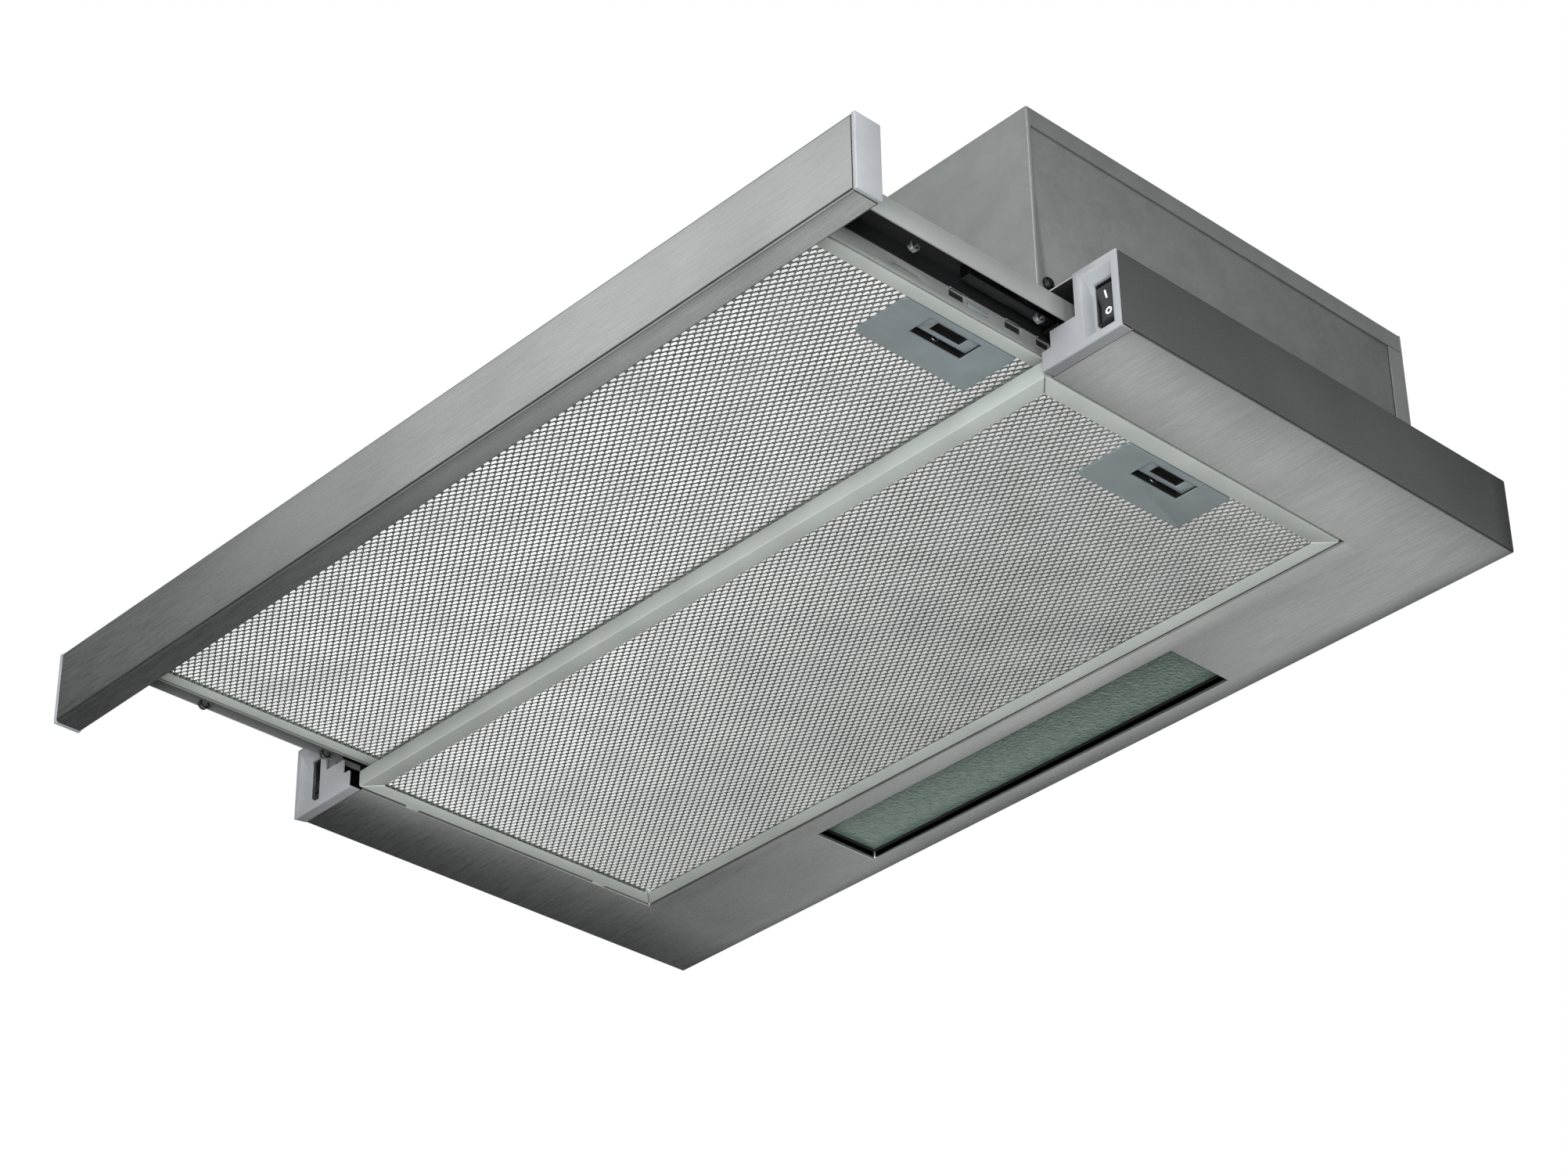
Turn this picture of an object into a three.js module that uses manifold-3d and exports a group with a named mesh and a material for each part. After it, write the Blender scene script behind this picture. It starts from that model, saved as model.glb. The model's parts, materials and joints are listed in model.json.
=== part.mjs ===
// Telescopic range hood that fits under a kitchen wall cabinet.
//
// Frame: millimetres, +Z up. The origin is on the wall plane, midway across the hood, at the level
// of the cabinet's underside. +X is the hood's right as seen from the cook, +Y points to the wall.
// The visor is drawn out and every switch is off.

import * as THREE from 'three';
import { mergeVertices } from 'three/addons/utils/BufferGeometryUtils.js';
import Module from 'manifold-3d';

const wasm = await Module();
wasm.setup();

// ---------------------------------------------------------------------------------------------
// Driving sizes, millimetres
// ---------------------------------------------------------------------------------------------

const SHEET = 0.8; // folded steel
const SEAM = 0.3; // gap left where two pieces meet

const TRAY_WIDTH = 598;
const TRAY_DEPTH = 278; // wall to the front of the end caps
const TRAY_HEIGHT = 41.4;
const ARM_WIDTH = 49; // underside strip beside the filter opening
const REAR_STRIP = 69; // underside strip behind the filter opening
const RETURN_FLANGE = 12; // upturned edge round the filter opening
const REAR_LIP = 3; // upturned rear edge, below the rear panel
const CROSSMEMBER_DEPTH = 16; // top strip that joins the arms at the front

const BOX_INSET = 50; // tray side to motor box side
const BOX_SETBACK = 3.3; // end cap front to motor box front
const BOX_HEIGHT = 113.6; // above the cabinet's underside
const FOLDED_STRIP = 11; // visible folded edges of the motor box
const SEAT_LEDGE = 14; // tray top that runs in under the motor box

const SCREW_RADIUS = 1.8;
const SCREW_HEAD_RADIUS = 3.4;
const SCREW_HEAD_HEIGHT = 2.2;
const BOX_SCREW_INSET = 8.1; // motor box front to its side screws
const BOX_SCREW_RISE = 13.6; // cabinet's underside to the same screws
const BOX_SCREW_LENGTH = 6;

const FILTER_THICKNESS = 9.3;
const MAIN_FILTER_LIP = 10; // visible width of the main filter's frame
const VISOR_FILTER_LIP = 7.7; // and of the visor filter's
const FILTER_SHEET = 1;
const MESH_THICKNESS = 1.2; // one sheet with the aluminium of the whole mesh pack
const FILTER_GAP = 0.9; // round the main filter
const FILTER_SETBACK = 4.6; // end cap front to the main filter
const FILTER_BACK_GAP = 0.9; // main filter to the rear strip
const HOOK_WIDTH = 8;
const HOOK_REACH = 2.2;
const HOOK_SPACING = 130;
const HOOK_THICKNESS = 1;

const LATCH_WIDTH = 34;
const LATCH_LENGTH = 70;
const LATCH_POCKET_WIDTH = 14.1;
const LATCH_POCKET_LENGTH = 32.3;
const LATCH_POCKET_EDGE = 3.4; // plate between the pocket and the frame
const LATCH_TRAVEL = 3.5;
const LATCH_PLAY = 0.4; // each side of the slider
const TONGUE_WIDTH = 12;
const TONGUE_THICKNESS = 2;
const TONGUE_RISE = 3.6; // filter underside to its latch tongue
const PLATE_INSET = 0.6; // latch plate's back below the frame's
const POCKET_ROOF = 2; // filter's top to the pocket's ceiling
const SLIDER_RISE = 1.2; // filter underside to the slider
const WINDOW_LENGTH = 19;
const VISOR_TONGUE_REACH = 2.4; // past the visor filter's frame

const VISOR_TRAVEL = 139.4;
const VISOR_STOP_GAP = 0.4; // bar to end caps when closed
const VISOR_FILTER_RISE = 13.1; // tray underside to visor filter underside
const VISOR_FILTER_GAP = 1;
const VISOR_LATCH_OFFSET = 2.4; // visor filter's middle to its latch

const BAR_END_INSET = 5; // tray side to bar end
const BAR_THICKNESS = 15.3;
const BAR_HEIGHT = 40.9;
const BAR_DROP = 3.9; // tray underside to bar underside
const BAR_LIP = 9; // folded edges at the back of the bar
const BAR_CAP = 2.4;

const CHANNEL_OVERHANG = 3.5; // channel's inner wall inside the filter opening
const CHANNEL_WIDTH = 19.1;
const CHANNEL_RISE = 20.4; // tray underside to the outer wall's lower edge
const CHANNEL_HEIGHT = 11.8;
const CHANNEL_SCREW_INSET = 14; // bar to the screw in the channel's top
const CHANNEL_SCREW_LENGTH = 4;
// Openings in a channel's inner wall: from the bar's back, length, rise over the filter's underside, height
const CHANNEL_SLOTS = [
  [52.1, 16.6, 3.4, 1.7],
  [86.5, 9.5, 4.1, 3.7],
  [121.8, 10.2, 4.1, 3.7],
  [141.9, 8.1, 4.1, 3.7],
];
const CROSSBAR_WIDTH = 8;
const CROSSBAR_SHEET = 1.2;

const RAIL_WIDTH = 10;
const RAIL_HEIGHT = 8;
const RAIL_WALL = 1.6;
const RAIL_PLAY = 0.5;
const RAIL_DROP = 2.4; // channel's top sheet to the rail
const RAIL_SETBACK = 2; // end cap front to the rail
const RAIL_SHORTFALL = 8; // rail's end in front of the shut channel's end
const RAIL_FOOT_LENGTH = 14;
const RAIL_FOOT_INSET = 18; // rail's end to the middle of its foot
const MIDDLE_PROUD = 1.2; // middle member above the rail's walls
const MIDDLE_WINDOW_LENGTH = 16;

const CAP_FACE = 1.2; // rim of an end cap
const CAP_LIP = 7.6; // lower edge of an end cap, front to back
const CAP_DROP = 1; // below the tray's underside
const CAP_INSET = 2; // arm's inner edge to the end cap
const CAP_STEP = 7.5; // arm's inner edge to the lower step of the visor's way
const CAP_CHANNEL_GAP = 7.4; // channel to the upper step
const CAP_SHELF_RISE = 18; // tray underside to the upper step
const CAP_TOP_GAP = 0.4; // under the cabinet's level
const CAP_POCKET_WIDTH = 17.8;
const CAP_POCKET_EDGE = 3.5;
const CAP_POCKET_FLOOR = 3; // tray underside to the pocket
const CAP_POCKET_HEIGHT = 33;
const CAP_POCKET_DEPTH = 8;
const CAP_WALL = 1.4;
const CAP_SCOOP = 7; // sloped top of the pocket

const SWITCH_WIDTH = 11.8;
const SWITCH_HEIGHT = 22.3;
const SWITCH_DEPTH = 20;
const SWITCH_PROUD = 2; // out of the pocket floor
const SWITCH_WALL = 0.7;
const ROCKER_HALF_HEIGHT = 8.4;
const ROCKER_TILT = 9; // degrees, off position
const KNOB_HEIGHT = 5;
const KNOB_TRAVEL = 12.4;
const KNOB_HALF_WIDTH = 2.6;
const KNOB_SLOT_INSET = 1.8; // switch cavity to the knob's slot, each side

const LENS_WIDTH = 255;
const LENS_DEPTH = 42.3;
const LENS_MIDDLE = 33.9; // wall to the lens's centre line
const LENS_RISE = 5;
const LENS_THICKNESS = 2;
const LENS_RIM = 4;
const REFLECTOR_HEIGHT = 31;
const BULB_RADIUS = 12;
const BULB_LENGTH = 84;
const BULB_BASE_RADIUS = 6.6;
const HOLDER_RADIUS = 10;
const REFLECTOR_SLOPE = 5;
const REFLECTOR_SKIRT = 8; // upright lower part of the reflector

const WHEEL_RADIUS = 37;
const WHEEL_WIDTH = 84;
const WHEEL_GAP = 2; // wheel to scroll cheek
const TONGUE_GAP = 4; // wheel to scroll at its tightest
const SCROLL_GROWTH = 19;
const SCROLL_WALL = 2;
const SCROLL_FLANGE = 6;
const HUB_RADIUS = 9;
const HUB_LENGTH = 24;
const BLADE_DEPTH = 8;
const BLADE_THICKNESS = 1.2;
const BLADE_TURN = 0.5; // radians
const INLET_RADIUS = 31;
const BLADES = 18;
const SHAFT_RADIUS = 3;
const MOTOR_RADIUS = 33;
const MOTOR_LENGTH = 46;
const MOTOR_STANDOFF = 16; // scroll cheek to motor
const MOTOR_BOSS_RADIUS = 12;
const MOTOR_ROUNDING = 5;
const BRACKET_SHEET = 2.4;
const GUARD_WIRE = 1; // radius

const GLAND_INSET = 46; // motor box side to the cord's gland
const GLAND_SETBACK = 48; // wall to the gland
const GLAND_RADIUS = 6;
const GLAND_NUT_RADIUS = 9.5;
const GLAND_BORE = 4;
const TERMINAL_BOX = [64, 48, 34];
const TERMINAL_WALL = 2;
const CAPACITOR_RADIUS = 14;
const CAPACITOR_LENGTH = 52;
const CAPACITOR_INSET = 30; // motor box side to the capacitor

const DUCT_RADIUS = 59.2; // outside of the spigot, for 120 mm duct
const DUCT_WALL = 1.8;
const COLLAR_HEIGHT = 24;
const COLLAR_FLANGE = 9;
const COLLAR_FLANGE_THICKNESS = 2;
const FLAP_THICKNESS = 1.2;
const FLAP_RISE = 8; // collar base to the flaps
const PIN_RADIUS = 1.5;
const KNUCKLE_WALL = 1.2;
const KNUCKLE_LENGTH = 14;
const COLLAR_SCREW_LENGTH = 5;

const MICROSWITCH_GAP = 0.4; // shut channel to the plunger
const PLUNGER_RADIUS = 1.8;
const PLUNGER_LENGTH = 8;
const PLUNGER_PROUD = 4;

// ---------------------------------------------------------------------------------------------
// Places worked out from the driving sizes
// ---------------------------------------------------------------------------------------------

const SIDE = TRAY_WIDTH / 2;
const FRONT = -TRAY_DEPTH;
const UNDERSIDE = -TRAY_HEIGHT;
const FLOOR = UNDERSIDE + SHEET; // upper side of the tray's bottom sheet
const OPENING = SIDE - ARM_WIDTH;
const BOX_SIDE = SIDE - BOX_INSET;
const BOX_FRONT = FRONT + BOX_SETBACK;
const BEHIND_SEAM = -SHEET - SEAM; // just in front of the rear panel
const CEILING = BOX_HEIGHT - SHEET - SEAM;

const FILTER_DEPTH = TRAY_DEPTH - FILTER_SETBACK - REAR_STRIP - FILTER_BACK_GAP;
const MAIN_FILTER_WIDTH = 2 * (OPENING - FILTER_GAP);
const MAIN_FILTER_Y = FRONT + FILTER_SETBACK + FILTER_DEPTH / 2;

const CHANNEL_INNER = OPENING - CHANNEL_OVERHANG;
const CHANNEL_OUTER = CHANNEL_INNER + CHANNEL_WIDTH;
const CHANNEL_TOP = UNDERSIDE + CHANNEL_RISE + CHANNEL_HEIGHT;
const BAR_BACK = FRONT - VISOR_TRAVEL - VISOR_STOP_GAP;
const VISOR_FILTER_WIDTH = 2 * (CHANNEL_INNER - VISOR_FILTER_GAP);
const VISOR_FILTER_Y = BAR_BACK + SEAM + FILTER_DEPTH / 2;
const VISOR_FILTER_Z = UNDERSIDE + VISOR_FILTER_RISE;
const CROSSBAR_Y = BAR_BACK + 2 * SEAM + FILTER_DEPTH;
const CHANNEL_BACK = CROSSBAR_Y + CROSSBAR_WIDTH;

const RAIL_MIDDLE = CHANNEL_OUTER - CHANNEL_WIDTH / 2;
const CHANNEL_SCREW_Y = BAR_BACK + CHANNEL_SCREW_INSET;
const RAIL_TOP = CHANNEL_TOP - SHEET - RAIL_DROP;
const RAIL_FRONT = FRONT + RAIL_SETBACK;
const RAIL_BACK = CHANNEL_BACK + VISOR_TRAVEL - RAIL_SHORTFALL;
const MIDDLE_FRONT = CHANNEL_SCREW_Y + VISOR_TRAVEL / 2 + SCREW_HEAD_RADIUS + 1;
const MIDDLE_BACK = RAIL_BACK - 5 - VISOR_TRAVEL / 2;

const POCKET_SIDE = SIDE - CAP_POCKET_EDGE;
const SWITCH_X = POCKET_SIDE - CAP_POCKET_WIDTH / 2;
const SWITCH_Z = UNDERSIDE + CAP_POCKET_FLOOR + CAP_POCKET_HEIGHT / 2 + 2.5;
const SWITCH_FRONT = FRONT + CAP_POCKET_DEPTH - SWITCH_PROUD;
const SWITCH_CAVITY = 9;

const BOX_SCREW_Y = BOX_FRONT + BOX_SCREW_INSET;
const GLAND_X = -BOX_SIDE + GLAND_INSET;
const GLAND_Y = -GLAND_SETBACK;

const DUCT_Y = -TRAY_DEPTH / 2;
const CHEEK = WHEEL_WIDTH / 2 + WHEEL_GAP; // inner face of a scroll cheek
const CHEEK_OUTER = CHEEK + SCROLL_WALL;
const TONGUE_RADIUS = WHEEL_RADIUS + TONGUE_GAP;
const TONGUE_ANGLE = 50; // degrees above +Y
const SCROLL_RADIUS = TONGUE_RADIUS + SCROLL_GROWTH; // at the throat
const THROAT_NEAR = TONGUE_RADIUS * Math.cos(THREE.MathUtils.degToRad(TONGUE_ANGLE));
const FAN_Y = DUCT_Y + (SCROLL_RADIUS - THROAT_NEAR) / 2;
const FAN_Z = BOX_HEIGHT / 2 - 2;

// ---------------------------------------------------------------------------------------------
// Solids
// ---------------------------------------------------------------------------------------------

const AXIS_FRAMES = {
  x: [new THREE.Vector3(0, 1, 0), new THREE.Vector3(0, 0, 1), new THREE.Vector3(1, 0, 0)],
  y: [new THREE.Vector3(0, 0, 1), new THREE.Vector3(1, 0, 0), new THREE.Vector3(0, 1, 0)],
  z: [new THREE.Vector3(1, 0, 0), new THREE.Vector3(0, 1, 0), new THREE.Vector3(0, 0, 1)],
};

/** Turn a geometry made along its own +Z to lie along one of the part's axes. */
function along(axis, geometry) {
  const [first, second, third] = AXIS_FRAMES[axis];
  return geometry.applyMatrix4(new THREE.Matrix4().makeBasis(first, second, third));
}

/** A manifold solid from a closed three.js geometry. */
function solid(geometry) {
  const bare = geometry.clone();
  bare.deleteAttribute('normal');
  bare.deleteAttribute('uv');
  const merged = mergeVertices(bare, 1e-4);
  const index = merged.getIndex().array;
  const triangles = [];
  for (let i = 0; i < index.length; i += 3) {
    const [a, b, c] = [index[i], index[i + 1], index[i + 2]];
    if (a !== b && b !== c && c !== a) triangles.push(a, b, c);
  }
  const vertProperties = new Float32Array(merged.getAttribute('position').array);
  const mesh = new wasm.Mesh({ numProp: 3, vertProperties, triVerts: new Uint32Array(triangles) });
  return new wasm.Manifold(mesh);
}

/** A box from its spans along X, Y and Z. */
function block([x0, x1], [y0, y1], [z0, z1]) {
  const geometry = new THREE.BoxGeometry(x1 - x0, y1 - y0, z1 - z0);
  return solid(geometry.translate((x0 + x1) / 2, (y0 + y1) / 2, (z0 + z1) / 2));
}

/** An outline extruded along an axis. Outlines are (y, z) along x, (x, z) along y, (x, y) along z. */
function prism(axis, outline, [low, high]) {
  const points = outline.map(([a, b]) => (axis === 'y' ? new THREE.Vector2(b, a) : new THREE.Vector2(a, b)));
  const geometry = new THREE.ExtrudeGeometry(new THREE.Shape(points), {
    depth: high - low,
    bevelEnabled: false,
  });
  return solid(along(axis, geometry.translate(0, 0, low)));
}

/** A round bar along an axis. Its centre is (y, z) along x, (x, z) along y, (x, y) along z. */
function bar(axis, radius, [a, b], span, sides = 32) {
  const outline = [];
  for (let i = 0; i < sides; i += 1) {
    const angle = (2 * Math.PI * i) / sides;
    outline.push([a + radius * Math.cos(angle), b + radius * Math.sin(angle)]);
  }
  return prism(axis, outline, span);
}

/** A turned solid from (radius, height) points, along an axis through a point. */
function turned(axis, profile, [x, y, z], sides = 32) {
  const points = profile.map(([radius, height]) => new THREE.Vector2(radius, height));
  const geometry = new THREE.LatheGeometry(points, sides).rotateX(Math.PI / 2);
  return solid(along(axis, geometry).translate(x, y, z));
}

function join(first, ...others) {
  return others.reduce((whole, other) => whole.add(other), first);
}

function cut(whole, ...tools) {
  return tools.reduce((left, tool) => left.subtract(tool), whole);
}

/** A span measured outward from the middle, on the right (side 1) or the left (side -1). */
function across(side, low, high) {
  return side > 0 ? [low, high] : [-high, -low];
}

// ---------------------------------------------------------------------------------------------
// Named meshes
// ---------------------------------------------------------------------------------------------

const FINISHES = {
  stainless: [0x9da2a2, 0.34, 0.95],
  galvanised: [0x8a8f8d, 0.5, 0.8],
  aluminium: [0xb4bbb6, 0.35, 0.9],
  capPlastic: [0xb6babd, 0.5, 0],
  latchPlastic: [0x868f92, 0.45, 0],
  blackPlastic: [0x17181a, 0.4, 0],
  fanPlastic: [0x3c4042, 0.6, 0],
  lensPlastic: [0x8fa398, 0.3, 0],
  lampGlass: [0xf2efe6, 0.15, 0],
  zincSteel: [0xb9bcbd, 0.3, 0.95],
  whitePlastic: [0xdadbd6, 0.5, 0],
};

const SIDES = [
  [1, 'right'],
  [-1, 'left'],
];

/** A named mesh of one solid in one finish. */
function piece(name, shape, finish) {
  const raw = shape.getMesh();
  const geometry = new THREE.BufferGeometry();
  geometry.setAttribute('position', new THREE.BufferAttribute(raw.vertProperties, 3));
  geometry.setIndex(new THREE.BufferAttribute(raw.triVerts, 1));
  geometry.computeVertexNormals();
  const [color, roughness, metalness] = FINISHES[finish];
  const mesh = new THREE.Mesh(geometry, new THREE.MeshStandardMaterial({ color, roughness, metalness }));
  mesh.name = name;
  return mesh;
}

function group(...members) {
  const whole = new THREE.Group();
  whole.add(...members.flat());
  return whole;
}

// ---------------------------------------------------------------------------------------------
// Canopy tray
// ---------------------------------------------------------------------------------------------

/** One arm of the tray: bottom strip, outer wall, top plate and the flange by the filter. */
function trayArm(side) {
  const front = FRONT + CAP_FACE + SEAM;
  const floor = block(across(side, OPENING, SIDE), [FRONT + CAP_LIP + SEAM, 0], [UNDERSIDE, FLOOR]);
  const lipRoom = [front - 1, FRONT + CAP_LIP + SEAM];
  const wall = cut(
    block(across(side, SIDE - SHEET, SIDE), [front, 0], [UNDERSIDE, 0]),
    block(across(side, SIDE - 2, SIDE + 1), lipRoom, [UNDERSIDE - 1, FLOOR + SEAM]),
  );
  const top = block(across(side, BOX_SIDE + SEAM, SIDE), [front, 0], [-SHEET, 0]);
  const ledge = block(across(side, BOX_SIDE - SEAT_LEDGE, BOX_SIDE + 1), [front, BEHIND_SEAM], [-SHEET, 0]);
  const back = block(across(side, BOX_SIDE + SEAM, SIDE), [-SHEET, 0], [UNDERSIDE, 0]);
  const flange = block(
    across(side, OPENING, OPENING + SHEET),
    [FRONT + CAP_LIP + SEAM, -REAR_STRIP + SHEET],
    [UNDERSIDE, UNDERSIDE + RETURN_FLANGE],
  );
  return join(floor, wall, top, ledge, back, flange);
}

/** Notches in the left arm that take the main filter's hooks and let them turn. */
function hookNotches() {
  const half = HOOK_WIDTH / 2 + 1;
  const span = [-OPENING - HOOK_REACH - 1.5, -OPENING + 1];
  const notches = [-1, 1].map((end) => {
    const y = MAIN_FILTER_Y + (end * HOOK_SPACING) / 2;
    return block(span, [y - half, y + half], [UNDERSIDE - 1, UNDERSIDE + 4.5]);
  });
  return join(...notches);
}

function canopyTray() {
  const strip = block([-OPENING - 1, OPENING + 1], [-REAR_STRIP, 0], [UNDERSIDE, FLOOR]);
  const flange = block(
    [-OPENING - 0.4, OPENING + 0.4],
    [-REAR_STRIP, -REAR_STRIP + SHEET],
    [UNDERSIDE, UNDERSIDE + RETURN_FLANGE],
  );
  const crossmember = block(
    [-BOX_SIDE + SEAT_LEDGE - 1, BOX_SIDE - SEAT_LEDGE + 1],
    [BOX_FRONT, BOX_FRONT + CROSSMEMBER_DEPTH],
    [-SHEET, 0],
  );
  const rearLip = block([-BOX_SIDE, BOX_SIDE], [-SHEET, 0], [UNDERSIDE, UNDERSIDE + REAR_LIP]);
  const window = block(
    [-LENS_WIDTH / 2, LENS_WIDTH / 2],
    [-LENS_MIDDLE - LENS_DEPTH / 2, -LENS_MIDDLE + LENS_DEPTH / 2],
    [UNDERSIDE - 1, FLOOR + 1],
  );
  const whole = join(trayArm(1), trayArm(-1), strip, flange, crossmember, rearLip);
  return piece('canopy_tray', cut(whole, window, hookNotches()), 'stainless');
}

// ---------------------------------------------------------------------------------------------
// Motor box
// ---------------------------------------------------------------------------------------------

/** Front and top of the motor box, folded from one sheet, with strips down over its sides. */
function boxShell() {
  const front = block([-BOX_SIDE, BOX_SIDE], [BOX_FRONT, BOX_FRONT + SHEET], [SEAM, BOX_HEIGHT]);
  const top = block([-BOX_SIDE, BOX_SIDE], [BOX_FRONT, BEHIND_SEAM], [BOX_HEIGHT - SHEET, BOX_HEIGHT]);
  const strips = SIDES.map(([side]) =>
    block(
      across(side, BOX_SIDE - SHEET, BOX_SIDE),
      [BOX_FRONT, BEHIND_SEAM],
      [BOX_HEIGHT - FOLDED_STRIP, BOX_HEIGHT],
    ),
  );
  const height = [BOX_HEIGHT - 2, BOX_HEIGHT + 1];
  const outlet = bar('z', DUCT_RADIUS - DUCT_WALL, [0, DUCT_Y], height, 64);
  const gland = bar('z', GLAND_RADIUS + SEAM, [GLAND_X, GLAND_Y], height, 24);
  const screwHoles = collarScrewHoles(height);
  return piece('box_shell', cut(join(front, top, ...strips), outlet, gland, ...screwHoles), 'galvanised');
}

/** Flat side of the motor box, set in behind the folded strips. */
function sidePanel(side, name) {
  const outer = BOX_SIDE - SHEET - SEAM;
  const panel = block(
    across(side, outer - SHEET, outer),
    [BOX_FRONT + SHEET + SEAM, BEHIND_SEAM],
    [SEAM, CEILING],
  );
  const through = across(side, outer - 2, outer + 1);
  const hole = bar('x', SCREW_RADIUS + SEAM, [BOX_SCREW_Y, BOX_SCREW_RISE], through, 16);
  return piece(`side_panel_${name}`, cut(panel, hole), 'galvanised');
}

/** Wall side of the hood: one sheet from the tray's bottom to the top of the motor box. */
function rearPanel() {
  const sheet = block([-BOX_SIDE, BOX_SIDE], [-SHEET, 0], [UNDERSIDE + REAR_LIP + SEAM, BOX_HEIGHT]);
  const strips = SIDES.map(([side]) =>
    block(
      across(side, BOX_SIDE - SHEET, BOX_SIDE),
      [-FOLDED_STRIP, 0],
      [SEAM, BOX_HEIGHT - FOLDED_STRIP - SEAM],
    ),
  );
  const clear = SIDES.map(([side]) =>
    block(
      across(side, BOX_SIDE - SHEET - SEAM - 2, BOX_SIDE - SHEET),
      [-FOLDED_STRIP - 1, BEHIND_SEAM + SEAM],
      [0, BOX_HEIGHT],
    ),
  );
  return piece('rear_panel', cut(join(sheet, ...strips), ...clear), 'galvanised');
}

/** A pan-head screw along an axis, with the underside of its head at a place. */
function screw(name, axis, place, length, flip = 1) {
  const profile = [
    [0, -length],
    [SCREW_RADIUS, -length],
    [SCREW_RADIUS, 0],
    [SCREW_HEAD_RADIUS, 0],
    [SCREW_HEAD_RADIUS, SCREW_HEAD_HEIGHT * 0.5],
    [SCREW_HEAD_RADIUS * 0.6, SCREW_HEAD_HEIGHT],
    [0, SCREW_HEAD_HEIGHT],
  ];
  const points = flip > 0 ? profile : profile.map(([r, h]) => [r, -h]).reverse();
  return piece(name, turned(axis, points, place, 16), 'zincSteel');
}

function boxScrew(side, name) {
  const face = side * (BOX_SIDE - SHEET);
  return screw(`box_screw_${name}`, 'x', [face, BOX_SCREW_Y, BOX_SCREW_RISE], BOX_SCREW_LENGTH, side);
}

// ---------------------------------------------------------------------------------------------
// End caps and switches
// ---------------------------------------------------------------------------------------------

/** Moulded cap on the front of one tray arm, stepped round the visor's way and holding a switch. */
function endCap(side, name) {
  const inner = OPENING + CAP_INSET;
  const lowStep = [OPENING + CAP_STEP, UNDERSIDE + FILTER_THICKNESS];
  const highStep = [CHANNEL_OUTER + CAP_CHANNEL_GAP, UNDERSIDE + CAP_SHELF_RISE];
  const outline = [
    [inner, UNDERSIDE - CAP_DROP],
    [inner, lowStep[1]],
    lowStep,
    [lowStep[0], highStep[1]],
    highStep,
    [highStep[0], -CAP_TOP_GAP],
    [SIDE, -CAP_TOP_GAP],
    [SIDE, UNDERSIDE - CAP_DROP],
  ].map(([x, z]) => [side * x, z]);
  const face = prism('y', outline, [FRONT, FRONT + CAP_FACE]);
  const lip = prism(
    'x',
    [
      [FRONT, UNDERSIDE - CAP_DROP],
      [FRONT + CAP_LIP, UNDERSIDE],
      [FRONT + CAP_LIP, FLOOR],
      [FRONT, FLOOR],
    ],
    across(side, inner, SIDE),
  );
  const pocketX = [POCKET_SIDE - CAP_POCKET_WIDTH, POCKET_SIDE];
  const pocketZ = [UNDERSIDE + CAP_POCKET_FLOOR, UNDERSIDE + CAP_POCKET_FLOOR + CAP_POCKET_HEIGHT];
  const housing = block(
    across(side, pocketX[0] - CAP_WALL, pocketX[1] + CAP_WALL),
    [FRONT, FRONT + CAP_POCKET_DEPTH + CAP_WALL],
    [pocketZ[0] - CAP_WALL, pocketZ[1] + CAP_WALL],
  );
  const pocket = prism(
    'x',
    [
      [FRONT - 1, pocketZ[0]],
      [FRONT + CAP_POCKET_DEPTH, pocketZ[0]],
      [FRONT + CAP_POCKET_DEPTH, pocketZ[1] - CAP_SCOOP],
      [FRONT + CAP_POCKET_DEPTH * 0.6, pocketZ[1] - CAP_SCOOP * 0.35],
      [FRONT, pocketZ[1]],
      [FRONT - 1, pocketZ[1]],
    ],
    across(side, ...pocketX),
  );
  const hole = block(
    across(side, SWITCH_X - SWITCH_WIDTH / 2 - SEAM, SWITCH_X + SWITCH_WIDTH / 2 + SEAM),
    [FRONT + 2, FRONT + CAP_POCKET_DEPTH + CAP_WALL + 1],
    [SWITCH_Z - SWITCH_HEIGHT / 2 - SEAM, SWITCH_Z + SWITCH_HEIGHT / 2 + SEAM],
  );
  return piece(`end_cap_${name}`, cut(join(face, lip, housing), pocket, hole), 'capPlastic');
}

/** Body of a switch, open to the front for its moving part. */
function switchBody(side, name, cavityWidth, cavityHeight) {
  const body = block(
    across(side, SWITCH_X - SWITCH_WIDTH / 2, SWITCH_X + SWITCH_WIDTH / 2),
    [SWITCH_FRONT, SWITCH_FRONT + SWITCH_DEPTH],
    [SWITCH_Z - SWITCH_HEIGHT / 2, SWITCH_Z + SWITCH_HEIGHT / 2],
  );
  const cavity = block(
    across(side, SWITCH_X - cavityWidth / 2, SWITCH_X + cavityWidth / 2),
    [SWITCH_FRONT - 1, SWITCH_FRONT + SWITCH_CAVITY],
    [SWITCH_Z - cavityHeight / 2, SWITCH_Z + cavityHeight / 2],
  );
  const tabs = [-3, 3].map((offset) =>
    block(
      across(side, SWITCH_X + offset - 1, SWITCH_X + offset + 1),
      [SWITCH_FRONT + SWITCH_DEPTH - 1, SWITCH_FRONT + SWITCH_DEPTH + 6],
      [SWITCH_Z - 3, SWITCH_Z + 3],
    ),
  );
  return piece(name, join(cut(body, cavity), ...tabs), 'blackPlastic');
}

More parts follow.
